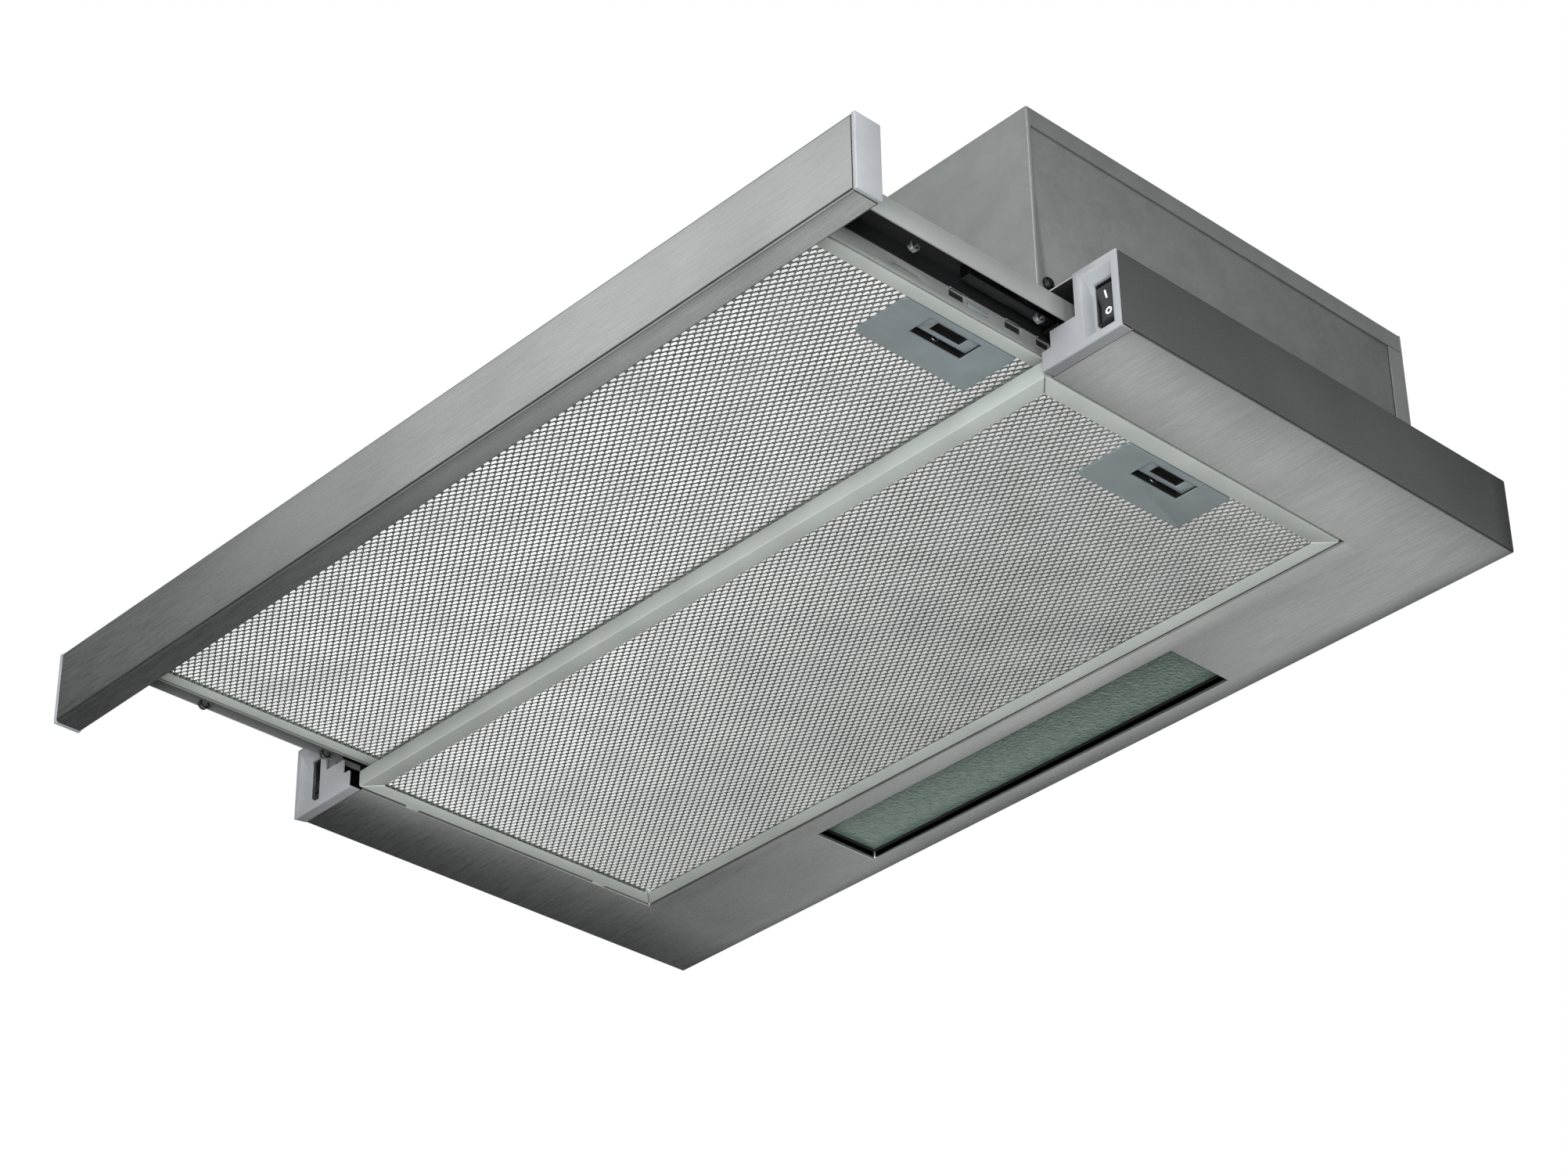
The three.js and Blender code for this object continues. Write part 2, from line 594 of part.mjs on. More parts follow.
/** Rocker of the light switch, its lower half pressed in. */
function lightRocker() {
  const half = ROCKER_HALF_HEIGHT;
  const width = SWITCH_WIDTH - 2 * SWITCH_WALL - 0.8;
  const tilt = THREE.MathUtils.degToRad(ROCKER_TILT);
  const outline = [
    [-4.6, -half],
    [-3.2, 0],
    [-4.6, half],
    [1.5, half],
    [3.6, 0],
    [1.5, -half],
  ].map(([y, z]) => [
    SWITCH_FRONT + 4.5 + y * Math.cos(tilt) - z * Math.sin(tilt),
    SWITCH_Z + y * Math.sin(tilt) + z * Math.cos(tilt),
  ]);
  const span = [SWITCH_X - width / 2, SWITCH_X + width / 2];
  return piece('light_rocker', prism('x', outline, span), 'blackPlastic');
}

/** Knob of the fan speed switch, at the bottom of its slot. */
function speedKnob() {
  const middle = SWITCH_Z - KNOB_TRAVEL / 2;
  const half = KNOB_HEIGHT / 2;
  const span = [-SWITCH_X - KNOB_HALF_WIDTH, -SWITCH_X + KNOB_HALF_WIDTH];
  const stem = block(span, [SWITCH_FRONT - 0.5, SWITCH_FRONT + 7], [middle - half, middle + half]);
  const ribs = [-1.6, 0, 1.6].map((offset) =>
    block(
      span,
      [SWITCH_FRONT - 1.3, SWITCH_FRONT],
      [middle + offset - 0.45, middle + offset + 0.45],
    ),
  );
  return piece('speed_knob', join(stem, ...ribs), 'blackPlastic');
}

// ---------------------------------------------------------------------------------------------
// Lamp
// ---------------------------------------------------------------------------------------------

const LENS_Y = [-LENS_MIDDLE - LENS_DEPTH / 2, -LENS_MIDDLE + LENS_DEPTH / 2];
const LAMP_Z = FLOOR + LENS_RISE + LENS_THICKNESS + 1 + REFLECTOR_HEIGHT / 2;
const REFLECTOR_BASE = FLOOR + LENS_RISE + LENS_THICKNESS + 3 * SEAM;

function lampFrame() {
  const half = LENS_WIDTH / 2;
  const height = [FLOOR + SEAM, FLOOR + LENS_RISE + LENS_THICKNESS + SEAM];
  const rim = [LENS_Y[0] - LENS_RIM, LENS_Y[1] + LENS_RIM];
  const outer = block([-half - LENS_RIM, half + LENS_RIM], rim, height);
  const inner = block([-half, half], LENS_Y, [height[0] - 1, height[1] + 1]);
  return piece('lamp_frame', cut(outer, inner), 'blackPlastic');
}

function lampLens() {
  const half = LENS_WIDTH / 2 - SEAM;
  const height = [FLOOR + LENS_RISE, FLOOR + LENS_RISE + LENS_THICKNESS];
  const plate = block([-half, half], [LENS_Y[0] + SEAM, LENS_Y[1] - SEAM], height);
  return piece('lamp_lens', plate, 'lensPlastic');
}

/** Trough over the lamps, open downward, with a hole in each end for a lamp holder. */
function lampReflector() {
  const half = LENS_WIDTH / 2;
  const top = REFLECTOR_BASE + REFLECTOR_HEIGHT;
  const outline = (wall, drop) => [
    [LENS_Y[0] + wall, REFLECTOR_BASE - drop],
    [LENS_Y[1] - wall, REFLECTOR_BASE - drop],
    [LENS_Y[1] - wall, REFLECTOR_BASE + REFLECTOR_SKIRT],
    [LENS_Y[1] - wall - REFLECTOR_SLOPE, top - wall],
    [LENS_Y[0] + wall + REFLECTOR_SLOPE, top - wall],
    [LENS_Y[0] + wall, REFLECTOR_BASE + REFLECTOR_SKIRT],
  ];
  const hollow = prism('x', outline(SHEET, 1), [-half + SHEET, half - SHEET]);
  const shell = cut(prism('x', outline(0, 0), [-half, half]), hollow);
  const holes = SIDES.map(([side]) =>
    bar('x', HOLDER_RADIUS + SEAM, [-LENS_MIDDLE, LAMP_Z], across(side, half - 2, half + 1), 24),
  );
  return piece('lamp_reflector', cut(shell, ...holes), 'aluminium');
}

function lampHolder(side, name) {
  const half = LENS_WIDTH / 2;
  const centre = [-LENS_MIDDLE, LAMP_Z];
  const body = bar('x', HOLDER_RADIUS, centre, across(side, half - 16, half + 12), 24);
  const socket = bar('x', BULB_BASE_RADIUS + SEAM, centre, across(side, half - 17, half + 6), 24);
  return piece(`lamp_holder_${name}`, cut(body, socket), 'whitePlastic');
}

/** Small tubular lamp with a screw base, pointing to the middle of the hood. */
function bulb(side, name) {
  const base = LENS_WIDTH / 2 + 4;
  const neck = 26;
  const profile = [
    [0, 0],
    [BULB_BASE_RADIUS - 2, 0],
    [BULB_BASE_RADIUS, 3],
    [BULB_BASE_RADIUS, neck - 5],
    [BULB_RADIUS - 2, neck + 2],
    [BULB_RADIUS, neck + 6],
    [BULB_RADIUS, BULB_LENGTH - BULB_RADIUS],
    [BULB_RADIUS * 0.87, BULB_LENGTH - BULB_RADIUS * 0.5],
    [BULB_RADIUS * 0.5, BULB_LENGTH - BULB_RADIUS * 0.13],
    [0, BULB_LENGTH],
  ].map(([radius, height]) => [radius, -height]);
  const points = side > 0 ? [...profile].reverse() : profile.map(([radius, height]) => [radius, -height]);
  return piece(`bulb_${name}`, turned('x', points, [side * base, -LENS_MIDDLE, LAMP_Z], 24), 'lampGlass');
}

// ---------------------------------------------------------------------------------------------
// Grease filters, each in a frame of its own with the origin in the middle of its underside
// ---------------------------------------------------------------------------------------------

const TONGUE_SLOT = [TONGUE_RISE - LATCH_PLAY, TONGUE_RISE + TONGUE_THICKNESS + LATCH_PLAY];

/** Frame folded from aluminium strip, open inward for the mesh, with a slot for the latch. */
function filterFrame(name, size, latchY, hooked) {
  const { lip } = size;
  const x = size.width / 2;
  const y = FILTER_DEPTH / 2;
  const ring = cut(
    block([-x, x], [-y, y], [0, FILTER_THICKNESS]),
    block([-x + lip, x - lip], [-y + lip, y - lip], [-1, FILTER_THICKNESS + 1]),
    block(
      [-x + FILTER_SHEET, x - FILTER_SHEET],
      [-y + FILTER_SHEET, y - FILTER_SHEET],
      [FILTER_SHEET, FILTER_THICKNESS - FILTER_SHEET],
    ),
    block(
      [x - 3, x + 1],
      [latchY - TONGUE_WIDTH / 2 - LATCH_PLAY, latchY + TONGUE_WIDTH / 2 + LATCH_PLAY],
      TONGUE_SLOT,
    ),
  );
  if (!hooked) return piece(`${name}_frame`, ring, 'aluminium');
  const hooks = [-1, 1].map((end) => {
    const middle = (end * HOOK_SPACING) / 2;
    const across = [middle - HOOK_WIDTH / 2, middle + HOOK_WIDTH / 2];
    return block([-x - HOOK_REACH, -x + 0.5], across, [0.1, 0.1 + HOOK_THICKNESS]);
  });
  return piece(`${name}_frame`, join(ring, ...hooks), 'aluminium');
}

/** Mesh held in a frame, cut out for the latch. */
function filterMesh(name, size, latchY) {
  const edge = FILTER_SHEET + SEAM;
  const x = size.width / 2;
  const y = FILTER_DEPTH / 2 - edge;
  const pack = block([-x + edge, x - edge], [-y, y], [edge, edge + MESH_THICKNESS]);
  const latch = block(
    [x - size.lip - LATCH_WIDTH - SEAM, x - size.lip + SEAM],
    [latchY - LATCH_LENGTH / 2 - SEAM, latchY + LATCH_LENGTH / 2 + SEAM],
    [0, FILTER_THICKNESS],
  );
  return piece(`${name}_mesh`, cut(pack, latch), 'aluminium');
}

/** Places along X that the latch's pieces share. */
function latchPlaces(size) {
  const right = size.width / 2 - size.lip - SEAM;
  const pocketRight = right - LATCH_POCKET_EDGE;
  const pocketLeft = pocketRight - LATCH_POCKET_WIDTH;
  return { right, left: right - LATCH_WIDTH + 2 * SEAM, pocketLeft, pocketRight };
}

/** Plate that carries the latch, with a finger pocket, a spring groove and the tongue's slot. */
function latchPlate(name, size, latchY) {
  const at = latchPlaces(size);
  const half = LATCH_LENGTH / 2 - SEAM;
  const height = [0, FILTER_THICKNESS - PLATE_INSET];
  const plate = block([at.left, at.right], [latchY - half, latchY + half], height);
  const pocket = block(
    [at.pocketLeft, at.pocketRight],
    [latchY - LATCH_POCKET_LENGTH / 2, latchY + LATCH_POCKET_LENGTH / 2],
    [-1, FILTER_THICKNESS - POCKET_ROOF],
  );
  const slot = block(
    [at.pocketRight - 1, at.right + 1],
    [latchY - TONGUE_WIDTH / 2 - LATCH_PLAY, latchY + TONGUE_WIDTH / 2 + LATCH_PLAY],
    TONGUE_SLOT,
  );
  const grooveX = [at.pocketLeft - 8, at.pocketLeft + 1];
  const groove = block(grooveX, [latchY - 3, latchY + 3], [1.6, FILTER_THICKNESS]);
  return piece(`${name}_latch_plate`, cut(plate, pocket, slot, groove), 'latchPlastic');
}

/** Slider with a finger window and the tongue that locks the filter in. */
function latchSlider(name, size, latchY, reach) {
  const at = latchPlaces(size);
  const half = LATCH_POCKET_LENGTH / 2 - LATCH_PLAY;
  const left = at.pocketLeft + LATCH_TRAVEL + LATCH_PLAY;
  const right = at.pocketRight - LATCH_PLAY;
  const roof = FILTER_THICKNESS - POCKET_ROOF - LATCH_PLAY;
  const body = block([left, right], [latchY - half, latchY + half], [SLIDER_RISE, roof]);
  const windowY = [latchY - WINDOW_LENGTH / 2, latchY + WINDOW_LENGTH / 2];
  const window = block([left + 2.2, right - 1.4], windowY, [0, roof - 1.2]);
  const tongue = block(
    [right - 1, size.width / 2 + reach],
    [latchY - TONGUE_WIDTH / 2, latchY + TONGUE_WIDTH / 2],
    [TONGUE_RISE, TONGUE_RISE + TONGUE_THICKNESS],
  );
  return piece(`${name}_latch_slider`, join(cut(body, window), tongue), 'latchPlastic');
}

/** A coil on X that pushes the slider towards the frame. */
function latchSpring(name, size, latchY) {
  const at = latchPlaces(size);
  const start = at.pocketLeft - 7.2;
  const length = at.pocketLeft + LATCH_TRAVEL + LATCH_PLAY - 0.6 - start;
  const radius = 1.9;
  const wire = 0.3;
  const turns = 5;
  const middle = 4.4;
  class Coil extends THREE.Curve {
    getPoint(t, target = new THREE.Vector3()) {
      const angle = 2 * Math.PI * turns * t;
      const x = start + length * t;
      return target.set(x, latchY + radius * Math.cos(angle), middle + radius * Math.sin(angle));
    }
  }
  const section = new THREE.Shape();
  section.absarc(0, 0, wire, 0, 2 * Math.PI);
  const geometry = new THREE.ExtrudeGeometry(section, {
    steps: turns * 8,
    curveSegments: 5,
    extrudePath: new Coil(),
  });
  return piece(`${name}_latch_spring`, solid(geometry), 'zincSteel');
}

/** A filter cassette of a width and lip; reach is how far its tongue passes the frame's right side. */
function filterCassette(name, size, latchY, reach, hooked) {
  return group(
    filterFrame(name, size, latchY, hooked),
    filterMesh(name, size, latchY),
    latchPlate(name, size, latchY),
    latchSlider(name, size, latchY, reach),
    latchSpring(name, size, latchY),
  );
}

// ---------------------------------------------------------------------------------------------
// Visor
// ---------------------------------------------------------------------------------------------

const BAR_SPAN = SIDE - BAR_END_INSET;
const BAR_BOTTOM = UNDERSIDE - BAR_DROP;
const BAR_TOP = BAR_BOTTOM + BAR_HEIGHT;
const BAR_FRONT = BAR_BACK - BAR_THICKNESS;

/** Front bar folded from one sheet, open along the middle of its back. */
function visorBar() {
  const x = BAR_SPAN - BAR_CAP - SEAM;
  const outer = block([-x, x], [BAR_FRONT, BAR_BACK], [BAR_BOTTOM, BAR_TOP]);
  const hollow = block(
    [-x - 1, x + 1],
    [BAR_FRONT + SHEET, BAR_BACK - SHEET],
    [BAR_BOTTOM + SHEET, BAR_TOP - SHEET],
  );
  const gap = block([-x - 1, x + 1], [BAR_BACK - 2, BAR_BACK + 1], [BAR_BOTTOM + BAR_LIP, BAR_TOP - BAR_LIP]);
  return piece('visor_bar', cut(outer, hollow, gap), 'stainless');
}

/** Plastic end of the bar, with a plug that goes into the fold. */
function visorBarCap(side, name) {
  const inner = BAR_SPAN - BAR_CAP;
  const plate = block(across(side, inner, BAR_SPAN), [BAR_FRONT, BAR_BACK], [BAR_BOTTOM, BAR_TOP]);
  const room = SHEET + SEAM;
  const wall = room + 1.6;
  const plug = cut(
    block(
      across(side, inner - 12, inner + 0.5),
      [BAR_FRONT + room, BAR_BACK - room],
      [BAR_BOTTOM + room, BAR_TOP - room],
    ),
    block(
      across(side, inner - 13, inner - 0.5),
      [BAR_FRONT + wall, BAR_BACK + 1],
      [BAR_BOTTOM + wall, BAR_TOP - wall],
    ),
  );
  return piece(`visor_bar_cap_${name}`, join(plate, plug), 'capPlastic');
}

/** Folded side channel of the visor, open downward, that runs over the fixed rail. */
function visorChannel(side, name) {
  const length = [BAR_BACK + SEAM, CHANNEL_BACK];
  const outer = block(
    across(side, CHANNEL_OUTER - SHEET, CHANNEL_OUTER),
    length,
    [UNDERSIDE + CHANNEL_RISE, CHANNEL_TOP],
  );
  const web = block(across(side, CHANNEL_INNER, CHANNEL_OUTER), length, [CHANNEL_TOP - SHEET, CHANNEL_TOP]);
  const inner = block(
    across(side, CHANNEL_INNER, CHANNEL_INNER + SHEET),
    length,
    [VISOR_FILTER_Z, CHANNEL_TOP],
  );
  const wallSpan = across(side, CHANNEL_INNER - 1, CHANNEL_INNER + 2);
  const slots = CHANNEL_SLOTS.map(([from, extent, rise, height]) =>
    block(
      wallSpan,
      [BAR_BACK + from, BAR_BACK + from + extent],
      [VISOR_FILTER_Z + rise, VISOR_FILTER_Z + rise + height],
    ),
  );
  const tongueY = VISOR_FILTER_Y + VISOR_LATCH_OFFSET;
  const catchSlot = block(
    wallSpan,
    [tongueY - TONGUE_WIDTH / 2 - LATCH_PLAY, tongueY + TONGUE_WIDTH / 2 + LATCH_PLAY],
    TONGUE_SLOT.map((z) => VISOR_FILTER_Z + z),
  );
  const screwAt = [side * RAIL_MIDDLE, CHANNEL_SCREW_Y];
  const screwHole = bar('z', SCREW_RADIUS + SEAM, screwAt, [CHANNEL_TOP - 3, CHANNEL_TOP + 1], 16);
  const openings = side > 0 ? [...slots, catchSlot, screwHole] : [...slots, screwHole];
  return piece(`visor_channel_${name}`, cut(join(outer, web, inner), ...openings), 'zincSteel');
}

/** Angle across the back of the visor that carries the filter's rear edge. */
function visorCrossbar() {
  const x = CHANNEL_INNER - SEAM;
  const y = [CROSSBAR_Y, CHANNEL_BACK];
  const upright = block([-x, x], [y[0], y[0] + CROSSBAR_SHEET], [VISOR_FILTER_Z, CHANNEL_TOP]);
  const shelf = block([-x, x], y, [CHANNEL_TOP - CROSSBAR_SHEET, CHANNEL_TOP]);
  return piece('visor_crossbar', join(upright, shelf), 'zincSteel');
}

/** Screw up through a channel's web near the bar. */
function channelScrew(side, name) {
  const place = [side * RAIL_MIDDLE, CHANNEL_SCREW_Y, CHANNEL_TOP - SHEET - SEAM];
  return screw(`channel_screw_${name}`, 'z', place, CHANNEL_SCREW_LENGTH, -1);
}

/** Fixed rail inside one arm, a trough on two feet. */
function slideRail(side, name) {
  const half = RAIL_WIDTH / 2;
  const height = [RAIL_TOP - RAIL_HEIGHT, RAIL_TOP];
  const body = block(across(side, RAIL_MIDDLE - half, RAIL_MIDDLE + half), [RAIL_FRONT, RAIL_BACK], height);
  const groove = block(
    across(side, RAIL_MIDDLE - half + RAIL_WALL, RAIL_MIDDLE + half - RAIL_WALL),
    [RAIL_FRONT - 1, RAIL_BACK + 1],
    [height[0] + RAIL_WALL, height[1] + 1],
  );
  const feet = [RAIL_FRONT + RAIL_FOOT_INSET, RAIL_BACK - RAIL_FOOT_INSET].map((y) =>
    block(
      across(side, OPENING + SHEET + 1, RAIL_MIDDLE + half - 1),
      [y - RAIL_FOOT_LENGTH / 2, y + RAIL_FOOT_LENGTH / 2],
      [FLOOR + SEAM, height[0] + 0.5],
    ),
  );
  return piece(`slide_rail_${name}`, join(cut(body, groove), ...feet), 'zincSteel');
}

/** Middle member that comes out half as far as the visor. */
function slideMiddle(side, name) {
  const half = RAIL_WIDTH / 2 - RAIL_WALL - RAIL_PLAY;
  const y = [MIDDLE_FRONT, MIDDLE_BACK];
  const z = [RAIL_TOP - RAIL_HEIGHT + RAIL_WALL + RAIL_PLAY, RAIL_TOP + MIDDLE_PROUD];
  const body = block(across(side, RAIL_MIDDLE - half, RAIL_MIDDLE + half), y, z);
  const holes = [0.07, 0.21, 0.35, 0.8].map((share) => {
    const middle = y[0] + share * (y[1] - y[0]);
    return block(
      across(side, RAIL_MIDDLE - half - 1, RAIL_MIDDLE + half + 1),
      [middle - MIDDLE_WINDOW_LENGTH / 2, middle + MIDDLE_WINDOW_LENGTH / 2],
      [z[0] + 1.6, z[1] - 1.8],
    );
  });
  return piece(`slide_middle_${name}`, cut(body, ...holes), 'zincSteel');
}

// ---------------------------------------------------------------------------------------------
// Microswitch that tells the fan when the visor is home
// ---------------------------------------------------------------------------------------------

const PLUNGER_X = CHANNEL_OUTER - SHEET / 2;
const PLUNGER_Z = CHANNEL_TOP - 5.5;
const PLUNGER_TIP = CHANNEL_BACK + VISOR_TRAVEL + MICROSWITCH_GAP;

function microswitchBody() {
  const y = [PLUNGER_TIP + PLUNGER_PROUD, PLUNGER_TIP + PLUNGER_PROUD + 20];
  const body = block([PLUNGER_X - 4.8, PLUNGER_X + 4.8], y, [PLUNGER_Z - 8, PLUNGER_Z + 5]);
  const foot = block([PLUNGER_X - 3, PLUNGER_X + 3], [y[0] + 5, y[1] - 5], [FLOOR + SEAM, PLUNGER_Z - 7]);
  const bore = bar('y', PLUNGER_RADIUS + SEAM, [PLUNGER_X, PLUNGER_Z], [y[0] - 1, y[0] + PLUNGER_LENGTH], 16);
  return piece('microswitch_body', cut(join(body, foot), bore), 'blackPlastic');
}

function microswitchPlunger() {
  const span = [PLUNGER_TIP, PLUNGER_TIP + PLUNGER_LENGTH];
  const shape = bar('y', PLUNGER_RADIUS, [PLUNGER_X, PLUNGER_Z], span, 16);
  return piece('microswitch_plunger', shape, 'whitePlastic');
}

// ---------------------------------------------------------------------------------------------
// Fan
// ---------------------------------------------------------------------------------------------

/** Section of the scroll's air passage, or of its outside when grown by the wall. */
function scrollOutline(grow, top) {
  const outline = [];
  const sweep = 180 + TONGUE_ANGLE;
  const step = 10;
  for (let turn = 0; turn <= sweep; turn += step) {
    const angle = THREE.MathUtils.degToRad(TONGUE_ANGLE - turn);
    const radius = TONGUE_RADIUS + (SCROLL_GROWTH * turn) / sweep + grow;
    outline.push([FAN_Y + radius * Math.cos(angle), FAN_Z + radius * Math.sin(angle)]);
  }
  outline.push([FAN_Y - SCROLL_RADIUS - grow, top]);
  outline.push([outline[0][0], top]);
  return outline;
}

/** Half of the scroll housing, with its inlet and half of the flange under the top panel. */
function scrollHalf(side, name) {
  const shell = prism('x', scrollOutline(SCROLL_WALL, CEILING), across(side, SEAM / 2, CHEEK_OUTER));
  const rim = SCROLL_WALL + SCROLL_FLANGE;
  const screwReach = COLLAR_SCREW_OFFSET + 2 * SCREW_RADIUS;
  const flange = block(
    across(side, SEAM / 2, Math.max(CHEEK_OUTER + SCROLL_FLANGE, screwReach)),
    [
      Math.min(FAN_Y - SCROLL_RADIUS - rim, DUCT_Y - screwReach),
      Math.max(FAN_Y + THROAT_NEAR + rim, DUCT_Y + screwReach),
    ],
    [CEILING - SCROLL_WALL, CEILING],
  );
  const passage = prism('x', scrollOutline(0, CEILING + 5), across(side, -1, CHEEK));
  const inlet = bar('x', INLET_RADIUS, [FAN_Y, FAN_Z], across(side, CHEEK - 1, CHEEK_OUTER + 1), 48);
  const holes = collarScrewHoles([CEILING - SCROLL_WALL - COLLAR_SCREW_LENGTH, CEILING + 1]);
  return piece(`scroll_half_${name}`, cut(join(shell, flange), passage, inlet, ...holes), 'fanPlastic');
}

/** Double-sided wheel of forward-curved blades round a central disc. */
function fanWheel() {
  const half = WHEEL_WIDTH / 2;
  const inner = WHEEL_RADIUS - BLADE_DEPTH;
  const centre = [FAN_Y, FAN_Z];
  const disc = bar('x', WHEEL_RADIUS - 1, centre, [-1, 1], 36);
  const hub = bar('x', HUB_RADIUS, centre, [-HUB_LENGTH / 2, HUB_LENGTH / 2], 24);
  const rings = [-half, half - 2].map((x) =>
    cut(bar('x', WHEEL_RADIUS, centre, [x, x + 2], 36), bar('x', inner, centre, [x - 1, x + 3], 36)),
  );
  const blades = [];
  for (let i = 0; i < BLADES; i += 1) {
    const blade = new THREE.BoxGeometry(WHEEL_WIDTH - 1, BLADE_THICKNESS, BLADE_DEPTH + 0.5);
    blade.rotateX(BLADE_TURN).translate(0, 0, (WHEEL_RADIUS + inner) / 2 - 0.3);
    blade.rotateX((2 * Math.PI * i) / BLADES).translate(0, FAN_Y, FAN_Z);
    blades.push(solid(blade));
  }
  const bore = bar('x', SHAFT_RADIUS + SEAM, centre, [-half, half], 24);
  return piece('fan_wheel', cut(join(disc, hub, ...rings, ...blades), bore), 'fanPlastic');
}

const MOTOR_X = CHEEK_OUTER + MOTOR_STANDOFF;

function motorShaft() {
  const shape = bar('x', SHAFT_RADIUS, [FAN_Y, FAN_Z], [-22, MOTOR_X + MOTOR_LENGTH + 6], 24);
  return piece('motor_shaft', shape, 'zincSteel');
}

/** Motor can with rounded ends and a clear bore for the shaft. */
function fanMotor() {
  const r = MOTOR_RADIUS;
  const bore = SHAFT_RADIUS + SEAM;
  const profile = [
    [bore, 0],
    [MOTOR_BOSS_RADIUS, 0],
    [MOTOR_BOSS_RADIUS, 3],
    [r - MOTOR_ROUNDING, 4],
    [r, 4 + MOTOR_ROUNDING],
    [r, MOTOR_LENGTH - 4 - MOTOR_ROUNDING],
    [r - MOTOR_ROUNDING, MOTOR_LENGTH - 4],
    [MOTOR_BOSS_RADIUS, MOTOR_LENGTH - 3],
    [MOTOR_BOSS_RADIUS, MOTOR_LENGTH],
    [bore, MOTOR_LENGTH],
    [bore, 0],
  ];
  return piece('fan_motor', turned('x', profile, [MOTOR_X, FAN_Y, FAN_Z], 32), 'zincSteel');
}

/** Ring round the motor on three arms that stand on the scroll's cheek. */
function motorBracket() {
  const inner = MOTOR_RADIUS + SEAM;
  const centre = [FAN_Y, FAN_Z];
  const band = [MOTOR_X + 14, MOTOR_X + 24];
  const outside = bar('x', inner + BRACKET_SHEET, centre, band, 48);
  const ring = cut(outside, bar('x', inner, centre, [band[0] - 1, band[1] + 1], 48));
  const arms = [90, 210, 330].map((degrees) => {
    const arm = new THREE.BoxGeometry(band[1] - CHEEK_OUTER - SEAM, 8, BRACKET_SHEET);
    arm.translate((band[1] + CHEEK_OUTER + SEAM) / 2, 0, inner + BRACKET_SHEET / 2);
    const foot = new THREE.BoxGeometry(2, 12, 8);
    foot.translate(CHEEK_OUTER + SEAM + 1, 0, inner + 4);
    const turn = THREE.MathUtils.degToRad(degrees - 90);
    return join(
      solid(arm.rotateX(turn).translate(0, FAN_Y, FAN_Z)),
      solid(foot.rotateX(turn).translate(0, FAN_Y, FAN_Z)),
    );
  });
  return piece('motor_bracket', join(ring, ...arms), 'zincSteel');
}

/** Wire guard over the free inlet. */
function inletGuard() {
  const x = -CHEEK_OUTER - SEAM - GUARD_WIRE;
  const reach = INLET_RADIUS + 3;
  const rings = [reach / 3, (reach * 2) / 3, reach].map((radius) => {
    const ring = new THREE.TorusGeometry(radius, GUARD_WIRE, 5, 24);
    return solid(ring.rotateY(Math.PI / 2).translate(x, FAN_Y, FAN_Z));
  });
  const spokes = [
    block([x - 0.6, x + 0.6], [FAN_Y - reach, FAN_Y + reach], [FAN_Z - 0.6, FAN_Z + 0.6]),
    block([x - 0.6, x + 0.6], [FAN_Y - 0.6, FAN_Y + 0.6], [FAN_Z - reach, FAN_Z + reach]),
  ];
  return piece('inlet_guard', join(...rings, ...spokes), 'zincSteel');
}

// ---------------------------------------------------------------------------------------------
// Electrical pieces in the motor box
// ---------------------------------------------------------------------------------------------

/** Box for the mains terminals under the top panel, open downward. */
function terminalBox() {
  const [width, depth, height] = TERMINAL_BOX;
  const wall = TERMINAL_WALL;
  const x = [GLAND_X - width / 2, GLAND_X + width / 2];
  const y = [GLAND_Y - depth / 2, GLAND_Y + depth / 2];
  const z = [CEILING - height, CEILING];
  const hollow = block([x[0] + wall, x[1] - wall], [y[0] + wall, y[1] - wall], [z[0] - 1, z[1] - wall]);
  const shell = cut(block(x, y, z), hollow);
  const entry = bar('z', GLAND_RADIUS + SEAM, [GLAND_X, GLAND_Y], [z[1] - 3, z[1] + 1], 24);
  return piece('terminal_box', cut(shell, entry), 'whitePlastic');
}

/** Screwed gland where the mains cord would enter, with a clear bore. */
function cableGland() {
  const low = BOX_HEIGHT - CEILING + 8;
  const tail = 11.5;
  const profile = [
    [GLAND_BORE, -low],
    [GLAND_RADIUS, -low],
    [GLAND_RADIUS, SEAM],
    [GLAND_NUT_RADIUS, SEAM],
    [GLAND_NUT_RADIUS, 4.5],
    [GLAND_NUT_RADIUS * 0.88, 5],
    [GLAND_NUT_RADIUS * 0.8, 9],
    [GLAND_BORE + 1.6, tail],
    [GLAND_BORE, tail],
    [GLAND_BORE, -low],
  ];
  return piece('cable_gland', turned('z', profile, [GLAND_X, GLAND_Y, BOX_HEIGHT], 24), 'blackPlastic');
}

/** Run capacitor of the motor, held by a strap on the rear panel. */
function capacitor() {
  const radius = CAPACITOR_RADIUS;
  const at = [-radius - 16, CEILING - radius - 12];
  const end = BOX_SIDE - CAPACITOR_INSET;
  const body = bar('x', radius, at, [end - CAPACITOR_LENGTH, end], 32);
  const strapX = [end - CAPACITOR_LENGTH * 0.6, end - CAPACITOR_LENGTH * 0.4];
  const strap = block(strapX, [at[0], BEHIND_SEAM], [at[1] - radius - 1.5, at[1] + radius + 1.5]);
  return piece('capacitor', join(body, strap), 'whitePlastic');
}

// ---------------------------------------------------------------------------------------------
// Duct collar and non-return flaps
// ---------------------------------------------------------------------------------------------

